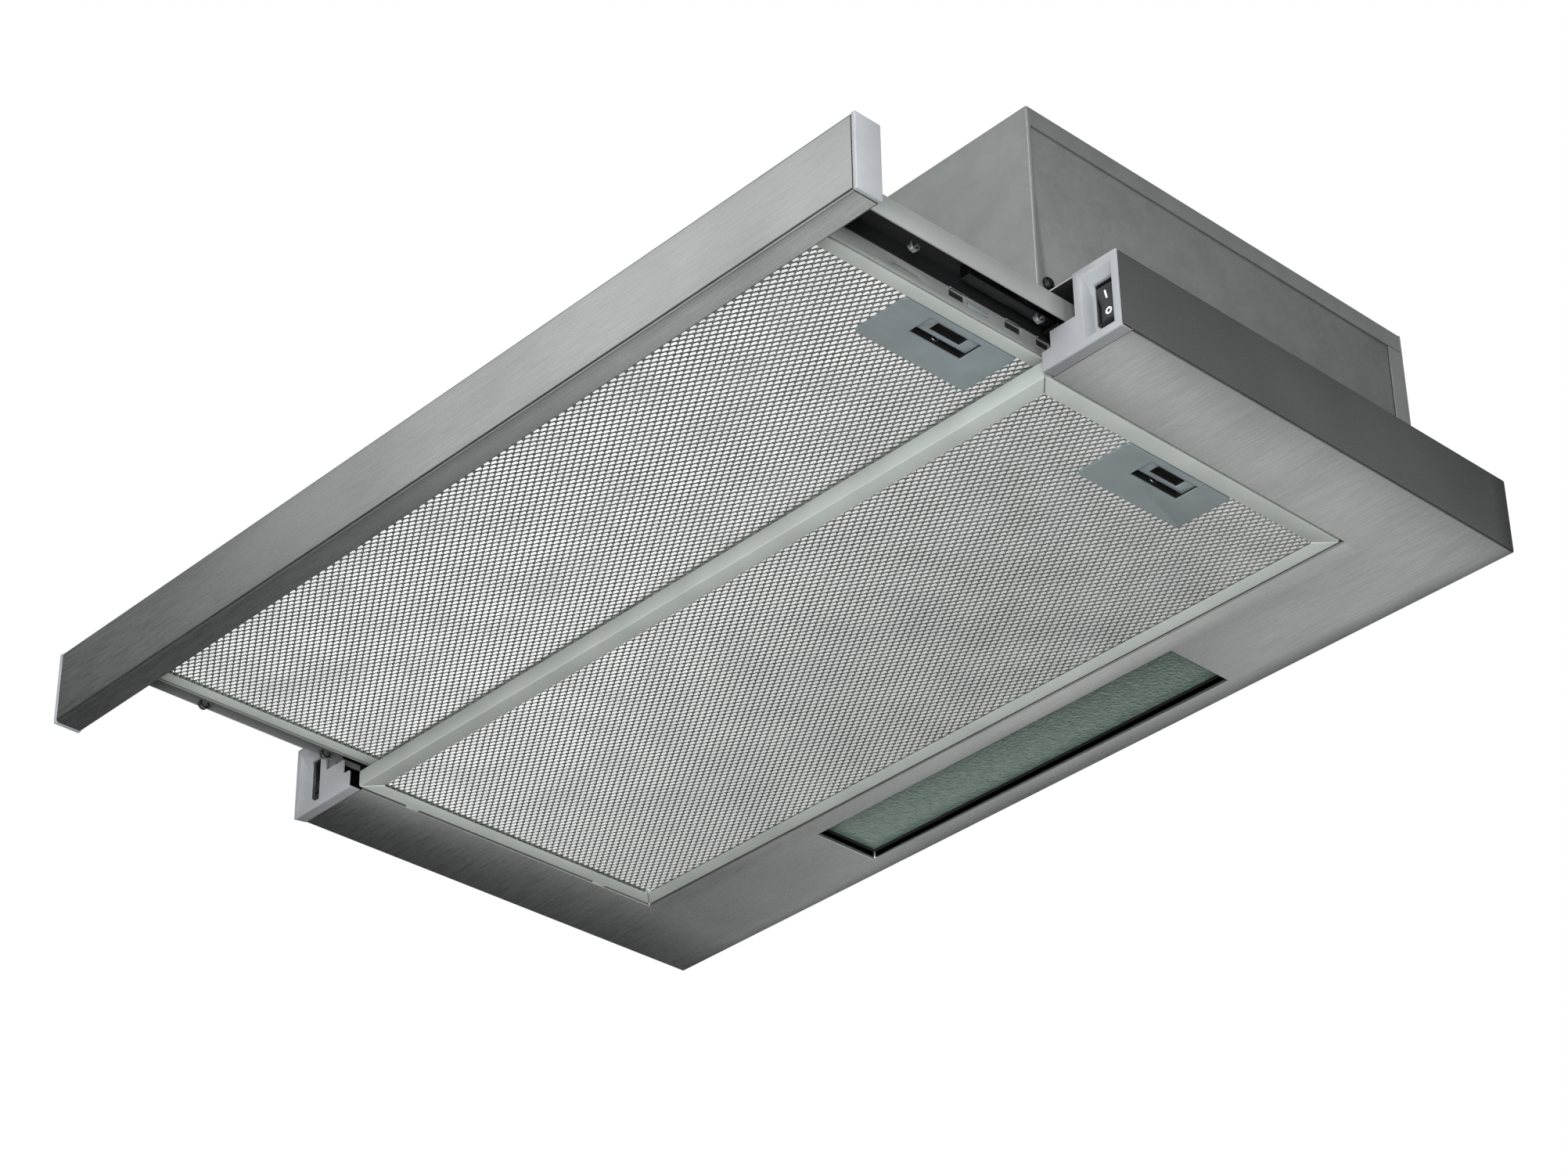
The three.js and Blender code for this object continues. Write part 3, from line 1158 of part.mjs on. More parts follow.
const COLLAR_BASE = BOX_HEIGHT + SEAM;
const FLAP_Z = COLLAR_BASE + FLAP_RISE;
const COLLAR_SCREW_RADIUS = DUCT_RADIUS + COLLAR_FLANGE / 2;
const COLLAR_SCREW_OFFSET = COLLAR_SCREW_RADIUS * Math.SQRT1_2;
const COLLAR_SCREWS = [
  ['front', 45 - 180],
  ['back', 45],
].map(([name, degrees]) => {
  const angle = THREE.MathUtils.degToRad(degrees);
  return [name, COLLAR_SCREW_RADIUS * Math.cos(angle), DUCT_Y + COLLAR_SCREW_RADIUS * Math.sin(angle)];
});

/** Cutters for the collar's screws over a span of heights. */
function collarScrewHoles(height) {
  return COLLAR_SCREWS.map(([, x, y]) => bar('z', SCREW_RADIUS + SEAM, [x, y], height, 16));
}

/** Spigot for the duct, with a ledge under the flaps and eyes for their pin. */
function ductCollar() {
  const inner = DUCT_RADIUS - DUCT_WALL;
  const profile = [
    [inner, 0],
    [DUCT_RADIUS + COLLAR_FLANGE, 0],
    [DUCT_RADIUS + COLLAR_FLANGE, COLLAR_FLANGE_THICKNESS],
    [DUCT_RADIUS, COLLAR_FLANGE_THICKNESS],
    [DUCT_RADIUS, COLLAR_HEIGHT - 2],
    [DUCT_RADIUS - 0.6, COLLAR_HEIGHT],
    [inner, COLLAR_HEIGHT],
    [inner, FLAP_RISE - 1.2],
    [inner - 2, FLAP_RISE - 1.2],
    [inner - 2, FLAP_RISE - 2.4],
    [inner, FLAP_RISE - 2.4],
    [inner, 0],
  ];
  const ring = turned('z', profile, [0, DUCT_Y, COLLAR_BASE], 48);
  const eyes = SIDES.map(([side]) =>
    bar('x', PIN_RADIUS + SEAM + 1.1, [DUCT_Y, FLAP_Z], across(side, inner - 4, inner + 0.5), 16),
  );
  const pinEnds = bar('x', PIN_RADIUS + SEAM, [DUCT_Y, FLAP_Z], [-inner, inner], 16);
  const screws = collarScrewHoles([COLLAR_BASE - 1, COLLAR_BASE + COLLAR_FLANGE_THICKNESS + 2]);
  return piece('duct_collar', cut(join(ring, ...eyes), pinEnds, ...screws), 'fanPlastic');
}

/** Fixed pin across the collar on which both flaps turn. */
function damperPin() {
  const half = DUCT_RADIUS - DUCT_WALL - SEAM;
  return piece('damper_pin', bar('x', PIN_RADIUS, [DUCT_Y, FLAP_Z], [-half, half], 16), 'zincSteel');
}

/** One half-disc flap, shut, with knuckles that share the pin with the other flap. */
function damperFlap(way, name) {
  const radius = DUCT_RADIUS - DUCT_WALL - 1;
  const inner = DUCT_RADIUS - DUCT_WALL;
  const knuckle = PIN_RADIUS + SEAM + KNUCKLE_WALL;
  const outline = [];
  const steps = 24;
  const start = Math.asin((knuckle + 0.4) / radius);
  for (let i = 0; i <= steps; i += 1) {
    const angle = start + ((Math.PI - 2 * start) * i) / steps;
    outline.push([radius * Math.cos(angle), DUCT_Y + way * radius * Math.sin(angle)]);
  }
  const disc = prism('z', outline, [FLAP_Z - FLAP_THICKNESS / 2, FLAP_Z + FLAP_THICKNESS / 2]);
  const places = way > 0 ? [-40, 14] : [-14, 40];
  const knuckles = places.map((x) => {
    const span = [x - KNUCKLE_LENGTH / 2, x + KNUCKLE_LENGTH / 2];
    const web = [way * PIN_RADIUS, way * (knuckle + 2)].map((y) => DUCT_Y + y).sort((a, b) => a - b);
    const arm = block(span, web, [FLAP_Z - FLAP_THICKNESS / 2, FLAP_Z + FLAP_THICKNESS / 2]);
    return join(bar('x', knuckle, [DUCT_Y, FLAP_Z], span, 20), arm);
  });
  const bore = bar('x', PIN_RADIUS + SEAM, [DUCT_Y, FLAP_Z], [-inner, inner], 16);
  return piece(`damper_flap_${name}`, cut(join(disc, ...knuckles), bore), 'fanPlastic');
}

function collarScrew([name, x, y]) {
  const place = [x, y, COLLAR_BASE + COLLAR_FLANGE_THICKNESS + SEAM];
  return screw(`collar_screw_${name}`, 'z', place, COLLAR_SCREW_LENGTH);
}

// ---------------------------------------------------------------------------------------------
// The whole hood
// ---------------------------------------------------------------------------------------------

const mainSize = { width: MAIN_FILTER_WIDTH, lip: MAIN_FILTER_LIP };
const mainFilter = filterCassette('main_filter', mainSize, 0, FILTER_GAP - SEAM, true);
mainFilter.position.set(0, MAIN_FILTER_Y, UNDERSIDE);

const visorFilter = filterCassette(
  'visor_filter',
  { width: VISOR_FILTER_WIDTH, lip: VISOR_FILTER_LIP },
  VISOR_LATCH_OFFSET,
  VISOR_TONGUE_REACH,
  false,
);
visorFilter.position.set(0, VISOR_FILTER_Y, VISOR_FILTER_Z);

const cavityWidth = SWITCH_WIDTH - 2 * SWITCH_WALL;
const cavityHeight = SWITCH_HEIGHT - 2 * SWITCH_WALL;

const body = group(
  canopyTray(),
  boxShell(),
  rearPanel(),
  SIDES.map(([side, name]) => sidePanel(side, name)),
  SIDES.map(([side, name]) => boxScrew(side, name)),
  SIDES.map(([side, name]) => endCap(side, name)),
  SIDES.map(([side, name]) => slideRail(side, name)),
  SIDES.map(([side, name]) => slideMiddle(side, name)),
  microswitchBody(),
  microswitchPlunger(),
);

const controls = group(
  switchBody(1, 'light_switch_body', cavityWidth, cavityHeight),
  lightRocker(),
  switchBody(-1, 'speed_switch_body', cavityWidth - 2 * KNOB_SLOT_INSET, cavityHeight - 1),
  speedKnob(),
);

const lamp = group(
  lampFrame(),
  lampLens(),
  lampReflector(),
  SIDES.map(([side, name]) => lampHolder(side, name)),
  SIDES.map(([side, name]) => bulb(side, name)),
);

const visor = group(
  visorBar(),
  SIDES.map(([side, name]) => visorBarCap(side, name)),
  SIDES.map(([side, name]) => visorChannel(side, name)),
  SIDES.map(([side, name]) => channelScrew(side, name)),
  visorCrossbar(),
  visorFilter,
);

const fan = group(
  SIDES.map(([side, name]) => scrollHalf(side, name)),
  fanWheel(),
  motorShaft(),
  fanMotor(),
  motorBracket(),
  inletGuard(),
  terminalBox(),
  cableGland(),
  capacitor(),
);

const outlet = group(
  ductCollar(),
  damperPin(),
  damperFlap(-1, 'front'),
  damperFlap(1, 'back'),
  COLLAR_SCREWS.map((place) => collarScrew(place)),
);

const hood = group(body, controls, lamp, mainFilter, visor, fan, outlet);

export default hood;
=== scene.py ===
"""Slide-out range hood seen from below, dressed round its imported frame.

Sizes are in metres unless a name says mm. The hood hangs at its cabinet's height: +X is its right
side, +Y the wall and +Z up, and the underside of the cabinet is at z = 0.
"""

import json
import logging
import math
from collections.abc import Callable, Iterator
from contextlib import contextmanager
from dataclasses import dataclass, field
from enum import Enum

import bmesh
import bpy
from mathutils import Matrix, Vector


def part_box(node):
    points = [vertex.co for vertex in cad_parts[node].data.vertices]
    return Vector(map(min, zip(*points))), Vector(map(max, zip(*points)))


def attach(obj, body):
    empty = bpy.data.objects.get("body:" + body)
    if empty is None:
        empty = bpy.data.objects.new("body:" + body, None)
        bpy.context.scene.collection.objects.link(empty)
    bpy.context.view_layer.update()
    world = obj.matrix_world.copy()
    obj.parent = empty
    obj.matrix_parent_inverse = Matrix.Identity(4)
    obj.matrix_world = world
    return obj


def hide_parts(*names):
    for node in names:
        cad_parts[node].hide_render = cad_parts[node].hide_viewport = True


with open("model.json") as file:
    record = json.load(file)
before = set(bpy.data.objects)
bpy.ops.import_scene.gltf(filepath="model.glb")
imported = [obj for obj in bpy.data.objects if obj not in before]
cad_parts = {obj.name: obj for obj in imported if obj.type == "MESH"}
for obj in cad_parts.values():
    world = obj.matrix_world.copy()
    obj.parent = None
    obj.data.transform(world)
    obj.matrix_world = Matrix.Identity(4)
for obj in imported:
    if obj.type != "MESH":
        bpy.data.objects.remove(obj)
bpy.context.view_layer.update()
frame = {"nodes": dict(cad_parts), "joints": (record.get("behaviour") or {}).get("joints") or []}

LOG = logging.getLogger("range_hood")

Point = tuple[float, float, float]
Span = tuple[float, float]
Object = bpy.types.Object
Tree = bpy.types.NodeTree
Node = bpy.types.Node
Socket = bpy.types.NodeSocket


class Side(Enum):
    """Side of the hood, with its sign along X."""

    RIGHT = 1
    LEFT = -1

    @property
    def label(self) -> str:
        """The word that node names use."""
        return self.name.lower()


class Body(str, Enum):
    """Bodies of the frame that pieces ride on."""

    HOUSING = "housing"
    VISOR = "visor"
    VISOR_LATCH = "visor_latch"
    MAIN_FILTER = "main_filter"
    MAIN_LATCH = "main_latch"
    LIGHT_ROCKER = "light_rocker"
    SPEED_KNOB = "speed_knob"
    FAN_ROTOR = "fan_rotor"
    DAMPER_FRONT = "damper_front"
    DAMPER_BACK = "damper_back"
    PLUNGER = "microswitch_plunger"
    RAIL_MIDDLE_RIGHT = "rail_middle_right"
    RAIL_MIDDLE_LEFT = "rail_middle_left"


FACING = 0.9  # a face looks along an axis when its normal's share of it passes this
MERGE_DISTANCE = 1e-6
FLAT_ANGLE = math.radians(0.6)
FOLD_ANGLE = math.radians(40)
SMOOTH_ANGLE = math.radians(38)


def mm(value: float) -> float:
    """Millimetres as metres."""
    return value / 1000.0


def centre_xy(node: str) -> Span:
    """Centre of a node's box along X and Y."""
    low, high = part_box(node)
    return ((low[0] + high[0]) / 2, (low[1] + high[1]) / 2)


def joint_place(name: str) -> Vector:
    """Place of a joint's axis."""
    return Vector(next(joint for joint in frame["joints"] if joint["name"] == name)["pos_m"])


# Modelling


def make_active(obj: Object) -> None:
    """Select one object alone and make it the active one.

    Args:
        obj: The object.
    """
    bpy.ops.object.select_all(action="DESELECT")
    obj.select_set(True)
    bpy.context.view_layer.objects.active = obj


@contextmanager
def editing(obj: Object, mode: str = "FACE") -> Iterator[None]:
    """Open an object in edit mode with nothing selected.

    Args:
        obj: The mesh object.
        mode: VERT, EDGE or FACE.

    Returns:
        A context that leaves edit mode at its end.
    """
    make_active(obj)
    bpy.ops.object.mode_set(mode="EDIT")
    bpy.ops.mesh.select_mode(type=mode)
    bpy.ops.mesh.select_all(action="DESELECT")
    try:
        yield
    finally:
        bpy.ops.object.mode_set(mode="OBJECT")


def pick(obj: Object, kind: str, test: Callable) -> int:
    """Select the parts of an open mesh that pass a test.

    Args:
        obj: The mesh object, in edit mode.
        kind: "verts", "edges" or "faces".
        test: Takes a BMesh element and says whether it is selected.

    Returns:
        How many were selected.
    """
    bpy.ops.mesh.select_all(action="DESELECT")
    mesh = bmesh.from_edit_mesh(obj.data)
    chosen = [part for part in getattr(mesh, kind) if test(part)]
    for part in chosen:
        part.select_set(True)
    bmesh.update_edit_mesh(obj.data)
    return len(chosen)


def add_block(name: str, low: Point, high: Point) -> Object:
    """Add a cube that fills a box.

    Args:
        name: The object's name.
        low: Lowest corner.
        high: Highest corner.

    Returns:
        The new object, at the origin.
    """
    bpy.ops.object.select_all(action="DESELECT")
    middle = [(a + b) / 2 for a, b in zip(low, high, strict=True)]
    size = [b - a for a, b in zip(low, high, strict=True)]
    bpy.ops.mesh.primitive_cube_add(size=1, location=middle, scale=size)
    return settle_place(name)


def add_round(
    name: str, radius: float, span: Span, centre: Span, axis: str = "z", sides: int = 48
) -> Object:
    """Add a cylinder along an axis.

    Args:
        name: The object's name.
        radius: Its radius.
        span: Its ends along the axis.
        centre: Its centre in the other two axes, in X, Y, Z order.
        axis: x, y or z.
        sides: Sides of the cylinder.

    Returns:
        The new object, at the origin.
    """
    bpy.ops.object.select_all(action="DESELECT")
    turn = {"x": (0, math.pi / 2, 0), "y": (math.pi / 2, 0, 0), "z": (0, 0, 0)}[axis]
    middle = list(centre)
    middle.insert("xyz".index(axis), sum(span) / 2)
    bpy.ops.mesh.primitive_cylinder_add(
        vertices=sides, radius=radius, depth=span[1] - span[0], location=middle, rotation=turn
    )
    return settle_place(name)


def settle_place(name: str) -> Object:
    """Name the active object and put its place into its mesh.

    Args:
        name: The name.

    Returns:
        The object.
    """
    obj = bpy.context.object
    obj.name = name
    obj.data.name = name
    bpy.ops.object.transform_apply(location=True, rotation=True, scale=True)
    return obj


def use_modifier(obj: Object, kind: str, **settings: object) -> None:
    """Add a modifier and apply it.

    Args:
        obj: The object.
        kind: The modifier's type.
        settings: Its properties.
    """
    make_active(obj)
    modifier = obj.modifiers.new(kind.title(), kind)
    for key, value in settings.items():
        setattr(modifier, key, value)
    bpy.ops.object.modifier_apply(modifier=modifier.name)


def soften(obj: Object, width_mm: float, segments: int = 2, angle: float = 32.0) -> None:
    """Round an object's sharp edges and shade it smooth between them.

    Args:
        obj: The object.
        width_mm: Width of the rounding.
        segments: Steps in it.
        angle: Edges sharper than this, in degrees, are rounded.
    """
    if width_mm > 0:
        use_modifier(
            obj,
            "BEVEL",
            width=mm(width_mm),
            segments=segments,
            limit_method="ANGLE",
            angle_limit=math.radians(angle),
        )
    make_active(obj)
    bpy.ops.object.shade_smooth_by_angle(angle=SMOOTH_ANGLE)


def carve(obj: Object, *cutters: Object) -> None:
    """Cut shapes out of an object and remove the cutters.

    Args:
        obj: The object.
        cutters: The shapes to cut out.
    """
    for cutter in cutters:
        use_modifier(obj, "BOOLEAN", object=cutter, operation="DIFFERENCE", solver="EXACT")
        bpy.data.objects.remove(cutter)


def merge(name: str, *objects: Object) -> Object:
    """Join objects into one.

    Args:
        name: The joined object's name.
        objects: The objects, of which the first one is kept.

    Returns:
        The joined object.
    """
    make_active(objects[0])
    for obj in objects[1:]:
        obj.select_set(True)
    bpy.ops.object.join()
    return settle_place(name)


def copy_object(obj: Object, name: str, shift: Point) -> Object:
    """Copy an object with a mesh of its own.

    Args:
        obj: The object.
        name: The copy's name.
        shift: How far the copy's mesh is moved.

    Returns:
        The copy.
    """
    copy = bpy.data.objects.new(name, obj.data.copy())
    bpy.context.scene.collection.objects.link(copy)
    with editing(copy):
        bpy.ops.mesh.select_all(action="SELECT")
        bpy.ops.transform.translate(value=shift)
    return copy


def bend_edges(obj: Object, radius_mm: float, steps: int = 4) -> None:
    """Round every fold of an open sheet, where two of its faces meet at an angle.

    Args:
        obj: The sheet.
        radius_mm: Outer radius of the folds.
        steps: Segments in each.
    """
    with editing(obj, "EDGE"):
        if pick(obj, "edges", lambda e: len(e.link_faces) == 2 and e.calc_face_angle(0) > FOLD_ANGLE):
            bpy.ops.mesh.bevel(offset=mm(radius_mm), segments=steps, affect="EDGES", clamp_overlap=True)


def slice_sheet(obj: Object, places: list[tuple[int, float]]) -> None:
    """Score a sheet along planes square to an axis.

    Args:
        obj: The sheet.
        places: Pairs of axis number and place along it.
    """
    with editing(obj):
        for axis, place in places:
            point = [0.0, 0.0, 0.0]
            normal = [0.0, 0.0, 0.0]
            point[axis] = place
            normal[axis] = 1.0
            bpy.ops.mesh.select_all(action="SELECT")
            bpy.ops.mesh.bisect(plane_co=point, plane_no=normal)


def drop_faces(obj: Object, test: Callable[[Vector, Vector], bool]) -> None:
    """Delete some of a sheet's faces.

    Args:
        obj: The sheet.
        test: Takes a face's centre and normal and says whether it goes.
    """
    with editing(obj):
        if pick(obj, "faces", lambda f: test(f.calc_center_median(), f.normal)):
            bpy.ops.mesh.delete(type="FACE")


def thicken(obj: Object, thickness_mm: float) -> None:
    """Give an open sheet its thickness, inward from the side its faces point to."""
    use_modifier(obj, "SOLIDIFY", thickness=mm(thickness_mm), offset=-1, use_even_offset=True)


def from_node(name: str, node: str, width_mm: float, segments: int = 2) -> Object:
    """Copy a CAD node as clean faces with rounded edges.

    Args:
        name: The new object's name.
        node: The node to copy.
        width_mm: Width of the rounding.
        segments: Steps in it.

    Returns:
        The new object.
    """
    copy = bpy.data.objects.new(name, frame["nodes"][node].data.copy())
    bpy.context.scene.collection.objects.link(copy)
    with editing(copy):
        bpy.ops.mesh.select_all(action="SELECT")
        bpy.ops.mesh.remove_doubles(threshold=MERGE_DISTANCE)
        bpy.ops.mesh.dissolve_limited(angle_limit=FLAT_ANGLE)
    soften(copy, width_mm, segments)
    return copy


# Finishes


def linear(code: str) -> tuple[float, float, float, float]:
    """An sRGB hex colour as linear values with full alpha."""
    values = [int(code[i : i + 2], 16) / 255 for i in (0, 2, 4)]
    return tuple(v / 12.92 if v <= 0.04045 else ((v + 0.055) / 1.055) ** 2.4 for v in values) + (1.0,)


def add_node(tree: Tree, kind: str, inputs: dict | None = None, **settings: object) -> Node:
    """Add a shader node with its settings and links.

    Args:
        tree: The node tree.
        kind: The node's type name.
        inputs: Values or output sockets by input name or number.
        settings: The node's properties.

    Returns:
        The new node.
    """
    node = tree.nodes.new(kind)
    for key, value in settings.items():
        setattr(node, key, value)
    for key, value in (inputs or {}).items():
        socket = node.inputs[key]
        if isinstance(value, Socket):
            tree.links.new(value, socket)
        else:
            socket.default_value = value
    return node


@dataclass(frozen=True)
class Finish:
    """A surface: the record's slot for it, its shader values, and the patterns that break it up."""

    name: str
    slot: str
    color: str
    shade: str
    roughness: float
    metallic: float = 0.0

    def material(self) -> bpy.types.Material:
        """Make the material, the first time it is asked for.

        Returns:
            The material.
        """
        found = bpy.data.materials.get(self.name)
        if found:
            return found
        material = bpy.data.materials.new(self.name)
        material.use_nodes = True
        tree = material.node_tree
        shader = tree.nodes["Principled BSDF"]
        shader.inputs["Metallic"].default_value = self.metallic
        shader.inputs["Roughness"].default_value = self.roughness
        shader.inputs["Base Color"].default_value = linear(self.color)
        self.pattern(tree, shader)
        return material

    def pattern(self, tree: Tree, shader: Node) -> None:
        """Link the finish's patterns to the shader.

        Args:
            tree: The material's node tree.
            shader: Its surface shader.
        """

    def grain(self, tree: Tree, pitch_mm: Point, detail: float = 3.0) -> Socket:
        """Noise with a real pitch along each axis.

        Args:
            tree: The node tree.
            pitch_mm: Size of the grain along X, Y and Z.
            detail: Octaves of it.

        Returns:
            The noise's value.
        """
        place = add_node(tree, "ShaderNodeTexCoord").outputs["Object"]
        scale = [1.0 / mm(size) for size in pitch_mm]
        mapping = add_node(tree, "ShaderNodeMapping", {"Vector": place, "Scale": scale})
        noise = add_node(
            tree, "ShaderNodeTexNoise", {"Vector": mapping.outputs[0], "Scale": 1.0, "Detail": detail}
        )
        return noise.outputs["Fac"]

    def spread(self, tree: Tree, value: Socket, low: float, high: float) -> Socket:
        """Map a noise's middle range onto another range.

        Args:
            tree: The node tree.
            value: The noise.
            low: The range's start.
            high: The range's end.

        Returns:
            The mapped value.
        """
        node = add_node(
            tree,
            "ShaderNodeMapRange",
            {"Value": value, "From Min": 0.3, "From Max": 0.7, "To Min": low, "To Max": high},
        )
        return node.outputs["Result"]

    def tint(self, tree: Tree, shader: Node, value: Socket) -> None:
        """Vary the base colour between the finish's two colours.

        Args:
            tree: The node tree.
            shader: The finish's shader.
            value: The noise that mixes them.
        """
        mix = add_node(
            tree,
            "ShaderNodeMix",
            {0: self.spread(tree, value, 0, 1), 6: linear(self.color), 7: linear(self.shade)},
            data_type="RGBA",
        )
        tree.links.new(mix.outputs[2], shader.inputs["Base Color"])

    def relief(self, tree: Tree, shader: Node, value: Socket, depth_mm: float) -> None:
        """Bump the surface by a real depth.

        Args:
            tree: The node tree.
            shader: The finish's shader.
            value: The height, from 0 to 1.
            depth_mm: The depth of 1.
        """
        bump = add_node(tree, "ShaderNodeBump", {"Height": value, "Distance": mm(depth_mm), "Strength": 1.0})
        tree.links.new(bump.outputs[0], shader.inputs["Normal"])


@dataclass(frozen=True)
class Brushed(Finish):
    """Stainless sheet brushed along one axis: fine lines that stretch highlights across the grain.

    The real lines are about 0.1 mm apart and are drawn at 0.4 mm, so that they show.
    """

    along: int = 0
    line_mm: float = 0.4
    length_mm: float = 16.0

    def pattern(self, tree: Tree, shader: Node) -> None:
        """Lines along the brushing, and slow changes of tone.

        Args:
            tree: The material's node tree.
            shader: Its surface shader.
        """
        pitch = [self.line_mm] * 3
        pitch[self.along] = self.length_mm
        lines = self.grain(tree, tuple(pitch), 4.0)
        rough = self.spread(tree, lines, self.roughness - 0.05, self.roughness + 0.07)
        tree.links.new(rough, shader.inputs["Roughness"])
        self.tint(tree, shader, self.grain(tree, (90.0, 70.0, 70.0), 2.0))
        self.relief(tree, shader, lines, 0.006)


@dataclass(frozen=True)
class CoatedSteel(Finish):
    """Cold-rolled sheet with a thin grey coat: soft gloss with a slight orange peel."""

    peel_mm: float = 1.4

    def pattern(self, tree: Tree, shader: Node) -> None:
        """Orange peel, and faint mottling of the coat.

        Args:
            tree: The material's node tree.
            shader: Its surface shader.
        """
        peel = self.grain(tree, (self.peel_mm,) * 3, 2.0)
        self.relief(tree, shader, peel, 0.012)
        self.tint(tree, shader, self.grain(tree, (18.0, 18.0, 18.0), 5.0))
        sheen = self.grain(tree, (3.0, 3.0, 3.0))
        rough = self.spread(tree, sheen, self.roughness - 0.04, self.roughness + 0.05)
        tree.links.new(rough, shader.inputs["Roughness"])


@dataclass(frozen=True)
class RolledAluminium(Finish):
    """Rolled and anodised aluminium: satin, with the faint lines of the rolling."""

    def pattern(self, tree: Tree, shader: Node) -> None:
        """Rolling lines and a slow change of tone.

        Args:
            tree: The material's node tree.
            shader: Its surface shader.
        """
        lines = self.grain(tree, (25.0, 25.0, 0.5), 3.0)
        rough = self.spread(tree, lines, self.roughness - 0.05, self.roughness + 0.06)
        tree.links.new(rough, shader.inputs["Roughness"])
        self.tint(tree, shader, self.grain(tree, (30.0, 30.0, 30.0), 3.0))
        self.relief(tree, shader, self.grain(tree, (0.8, 0.8, 0.8), 2.0), 0.004)


@dataclass(frozen=True)
class DeepMesh(Finish):
    """Inner layers of expanded aluminium mesh, with the shade that the outer one casts painted into their
    dark grey.
    """

    def pattern(self, tree: Tree, shader: Node) -> None:
        """Uneven grey of strands that lie across each other.

        Args:
            tree: The material's node tree.
            shader: Its surface shader.
        """
        clumps = self.grain(tree, (1.8, 1.1, 1.8), 2.0)
        self.tint(tree, shader, clumps)
        self.relief(tree, shader, clumps, 0.3)


@dataclass(frozen=True)
class Moulded(Finish):
    """Injection-moulded plastic with a fine spark-eroded texture."""

    grain_mm: float = 0.5
    depth_mm: float = 0.01

    def pattern(self, tree: Tree, shader: Node) -> None:
        """Mould texture, and the slight cloudiness of the resin.

        Args:
            tree: The material's node tree.
            shader: Its surface shader.
        """
        self.relief(tree, shader, self.grain(tree, (self.grain_mm,) * 3, 2.0), self.depth_mm)
        self.tint(tree, shader, self.grain(tree, (14.0, 14.0, 14.0), 3.0))
        sheen = self.grain(tree, (1.5, 1.5, 1.5))
        rough = self.spread(tree, sheen, self.roughness - 0.04, self.roughness + 0.04)
        tree.links.new(rough, shader.inputs["Roughness"])


@dataclass(frozen=True)
class Pebbled(Finish):
    """Clear plastic pressed with a pebble pattern, dark behind."""

    pebble_mm: float = 1.6

    def pattern(self, tree: Tree, shader: Node) -> None:
        """Round pebbles that scatter the lamp's light.

        Args:
            tree: The material's node tree.
            shader: Its surface shader.
        """
        place = add_node(tree, "ShaderNodeTexCoord").outputs["Object"]
        cells = add_node(
            tree,
            "ShaderNodeTexVoronoi",
            {"Vector": place, "Scale": 1.0 / mm(self.pebble_mm)},
            feature="SMOOTH_F1",
        )
        self.relief(tree, shader, cells.outputs["Distance"], -0.35)
        self.tint(tree, shader, self.grain(tree, (5.0, 5.0, 5.0), 4.0))
        shader.inputs["Transmission Weight"].default_value = 0.25
        shader.inputs["IOR"].default_value = 1.49


@dataclass(frozen=True)
class Glass(Finish):
    """Frosted lamp glass."""

    def pattern(self, tree: Tree, shader: Node) -> None:
        """Etched frosting.

        Args:
            tree: The material's node tree.
            shader: Its surface shader.
        """
        self.relief(tree, shader, self.grain(tree, (0.4, 0.4, 0.4), 2.0), 0.01)
        self.tint(tree, shader, self.grain(tree, (8.0, 8.0, 8.0), 2.0))
        shader.inputs["Transmission Weight"].default_value = 0.6
        shader.inputs["IOR"].default_value = 1.5


# Rolled and brushed along its width: long soft highlights, with short fine flecks
STAINLESS = Brushed("Brushed stainless steel", "stainless", "B1B3B2", "A2A4A4", 0.28, 1.0)
# Rolled sheet with a thin coat: dull grey, faintly mottled
COATED = CoatedSteel("Grey coated steel", "galvanised", "858987", "7C807E", 0.42, 0.55)
# Roll-formed and anodised: pale, even and slightly green
FRAME_ALUMINIUM = RolledAluminium(
    "Anodised aluminium strip", "filter_aluminium", "BCC3BE", "B0B7B2", 0.36, 0.1
)
# Slit and stretched foil: each bright strand catches the light on its own
MESH_ALUMINIUM = RolledAluminium("Bright expanded aluminium", "mesh_aluminium", "F2F4F3", "E6E9E8", 0.3, 1.0)
# Layers of the same foil with painted shade: dark, uneven grey
DEEP_MESH = DeepMesh("Inner mesh layers", "mesh_aluminium", "303333", "1A1C1C", 0.6, 0.3)
# Moulded with a fine texture: soft and cool grey
CAP_ABS = Moulded("Light grey ABS", "cap_plastic", "A3A7AB", "9B9FA3", 0.42)
# Moulded with a fine texture: darker and bluer than the caps
LATCH_ABS = Moulded("Blue-grey ABS", "latch_plastic", "808A8D", "788285", 0.4)
# Moulded in a polished tool: deep black with sharp highlights
SWITCH_BLACK = Moulded(
    "Glossy black polycarbonate", "switch_plastic", "141517", "1B1C1F", 0.22, 0.0, 0.4, 0.002
)
# Moulded nylon: black that hardly shines; the same black also paints shade in the channels and the latch
# pockets
MATT_BLACK = Moulded("Matt black nylon", "black_plastic", "0C0D0E", "121315", 0.6)
# Moulded in a blasted tool: black that greys where light grazes it
SATIN_BLACK = Moulded("Satin black polycarbonate", "switch_plastic", "303234", "292B2D", 0.3)
# Moulded polypropylene: dark, waxy grey
FAN_PP = Moulded("Dark grey polypropylene", "fan_plastic", "34373A", "3D4043", 0.5)
# Pressed sheet: sparkling grey-green over the dark lamp box
LENS = Pebbled("Pebbled acrylic", "lens_plastic", "6B7F75", "7E9188", 0.22)
# Etched glass: white and soft
LAMP_GLASS = Glass("Frosted lamp glass", "lamp_glass", "F1EEE6", "E8E4DA", 0.3)
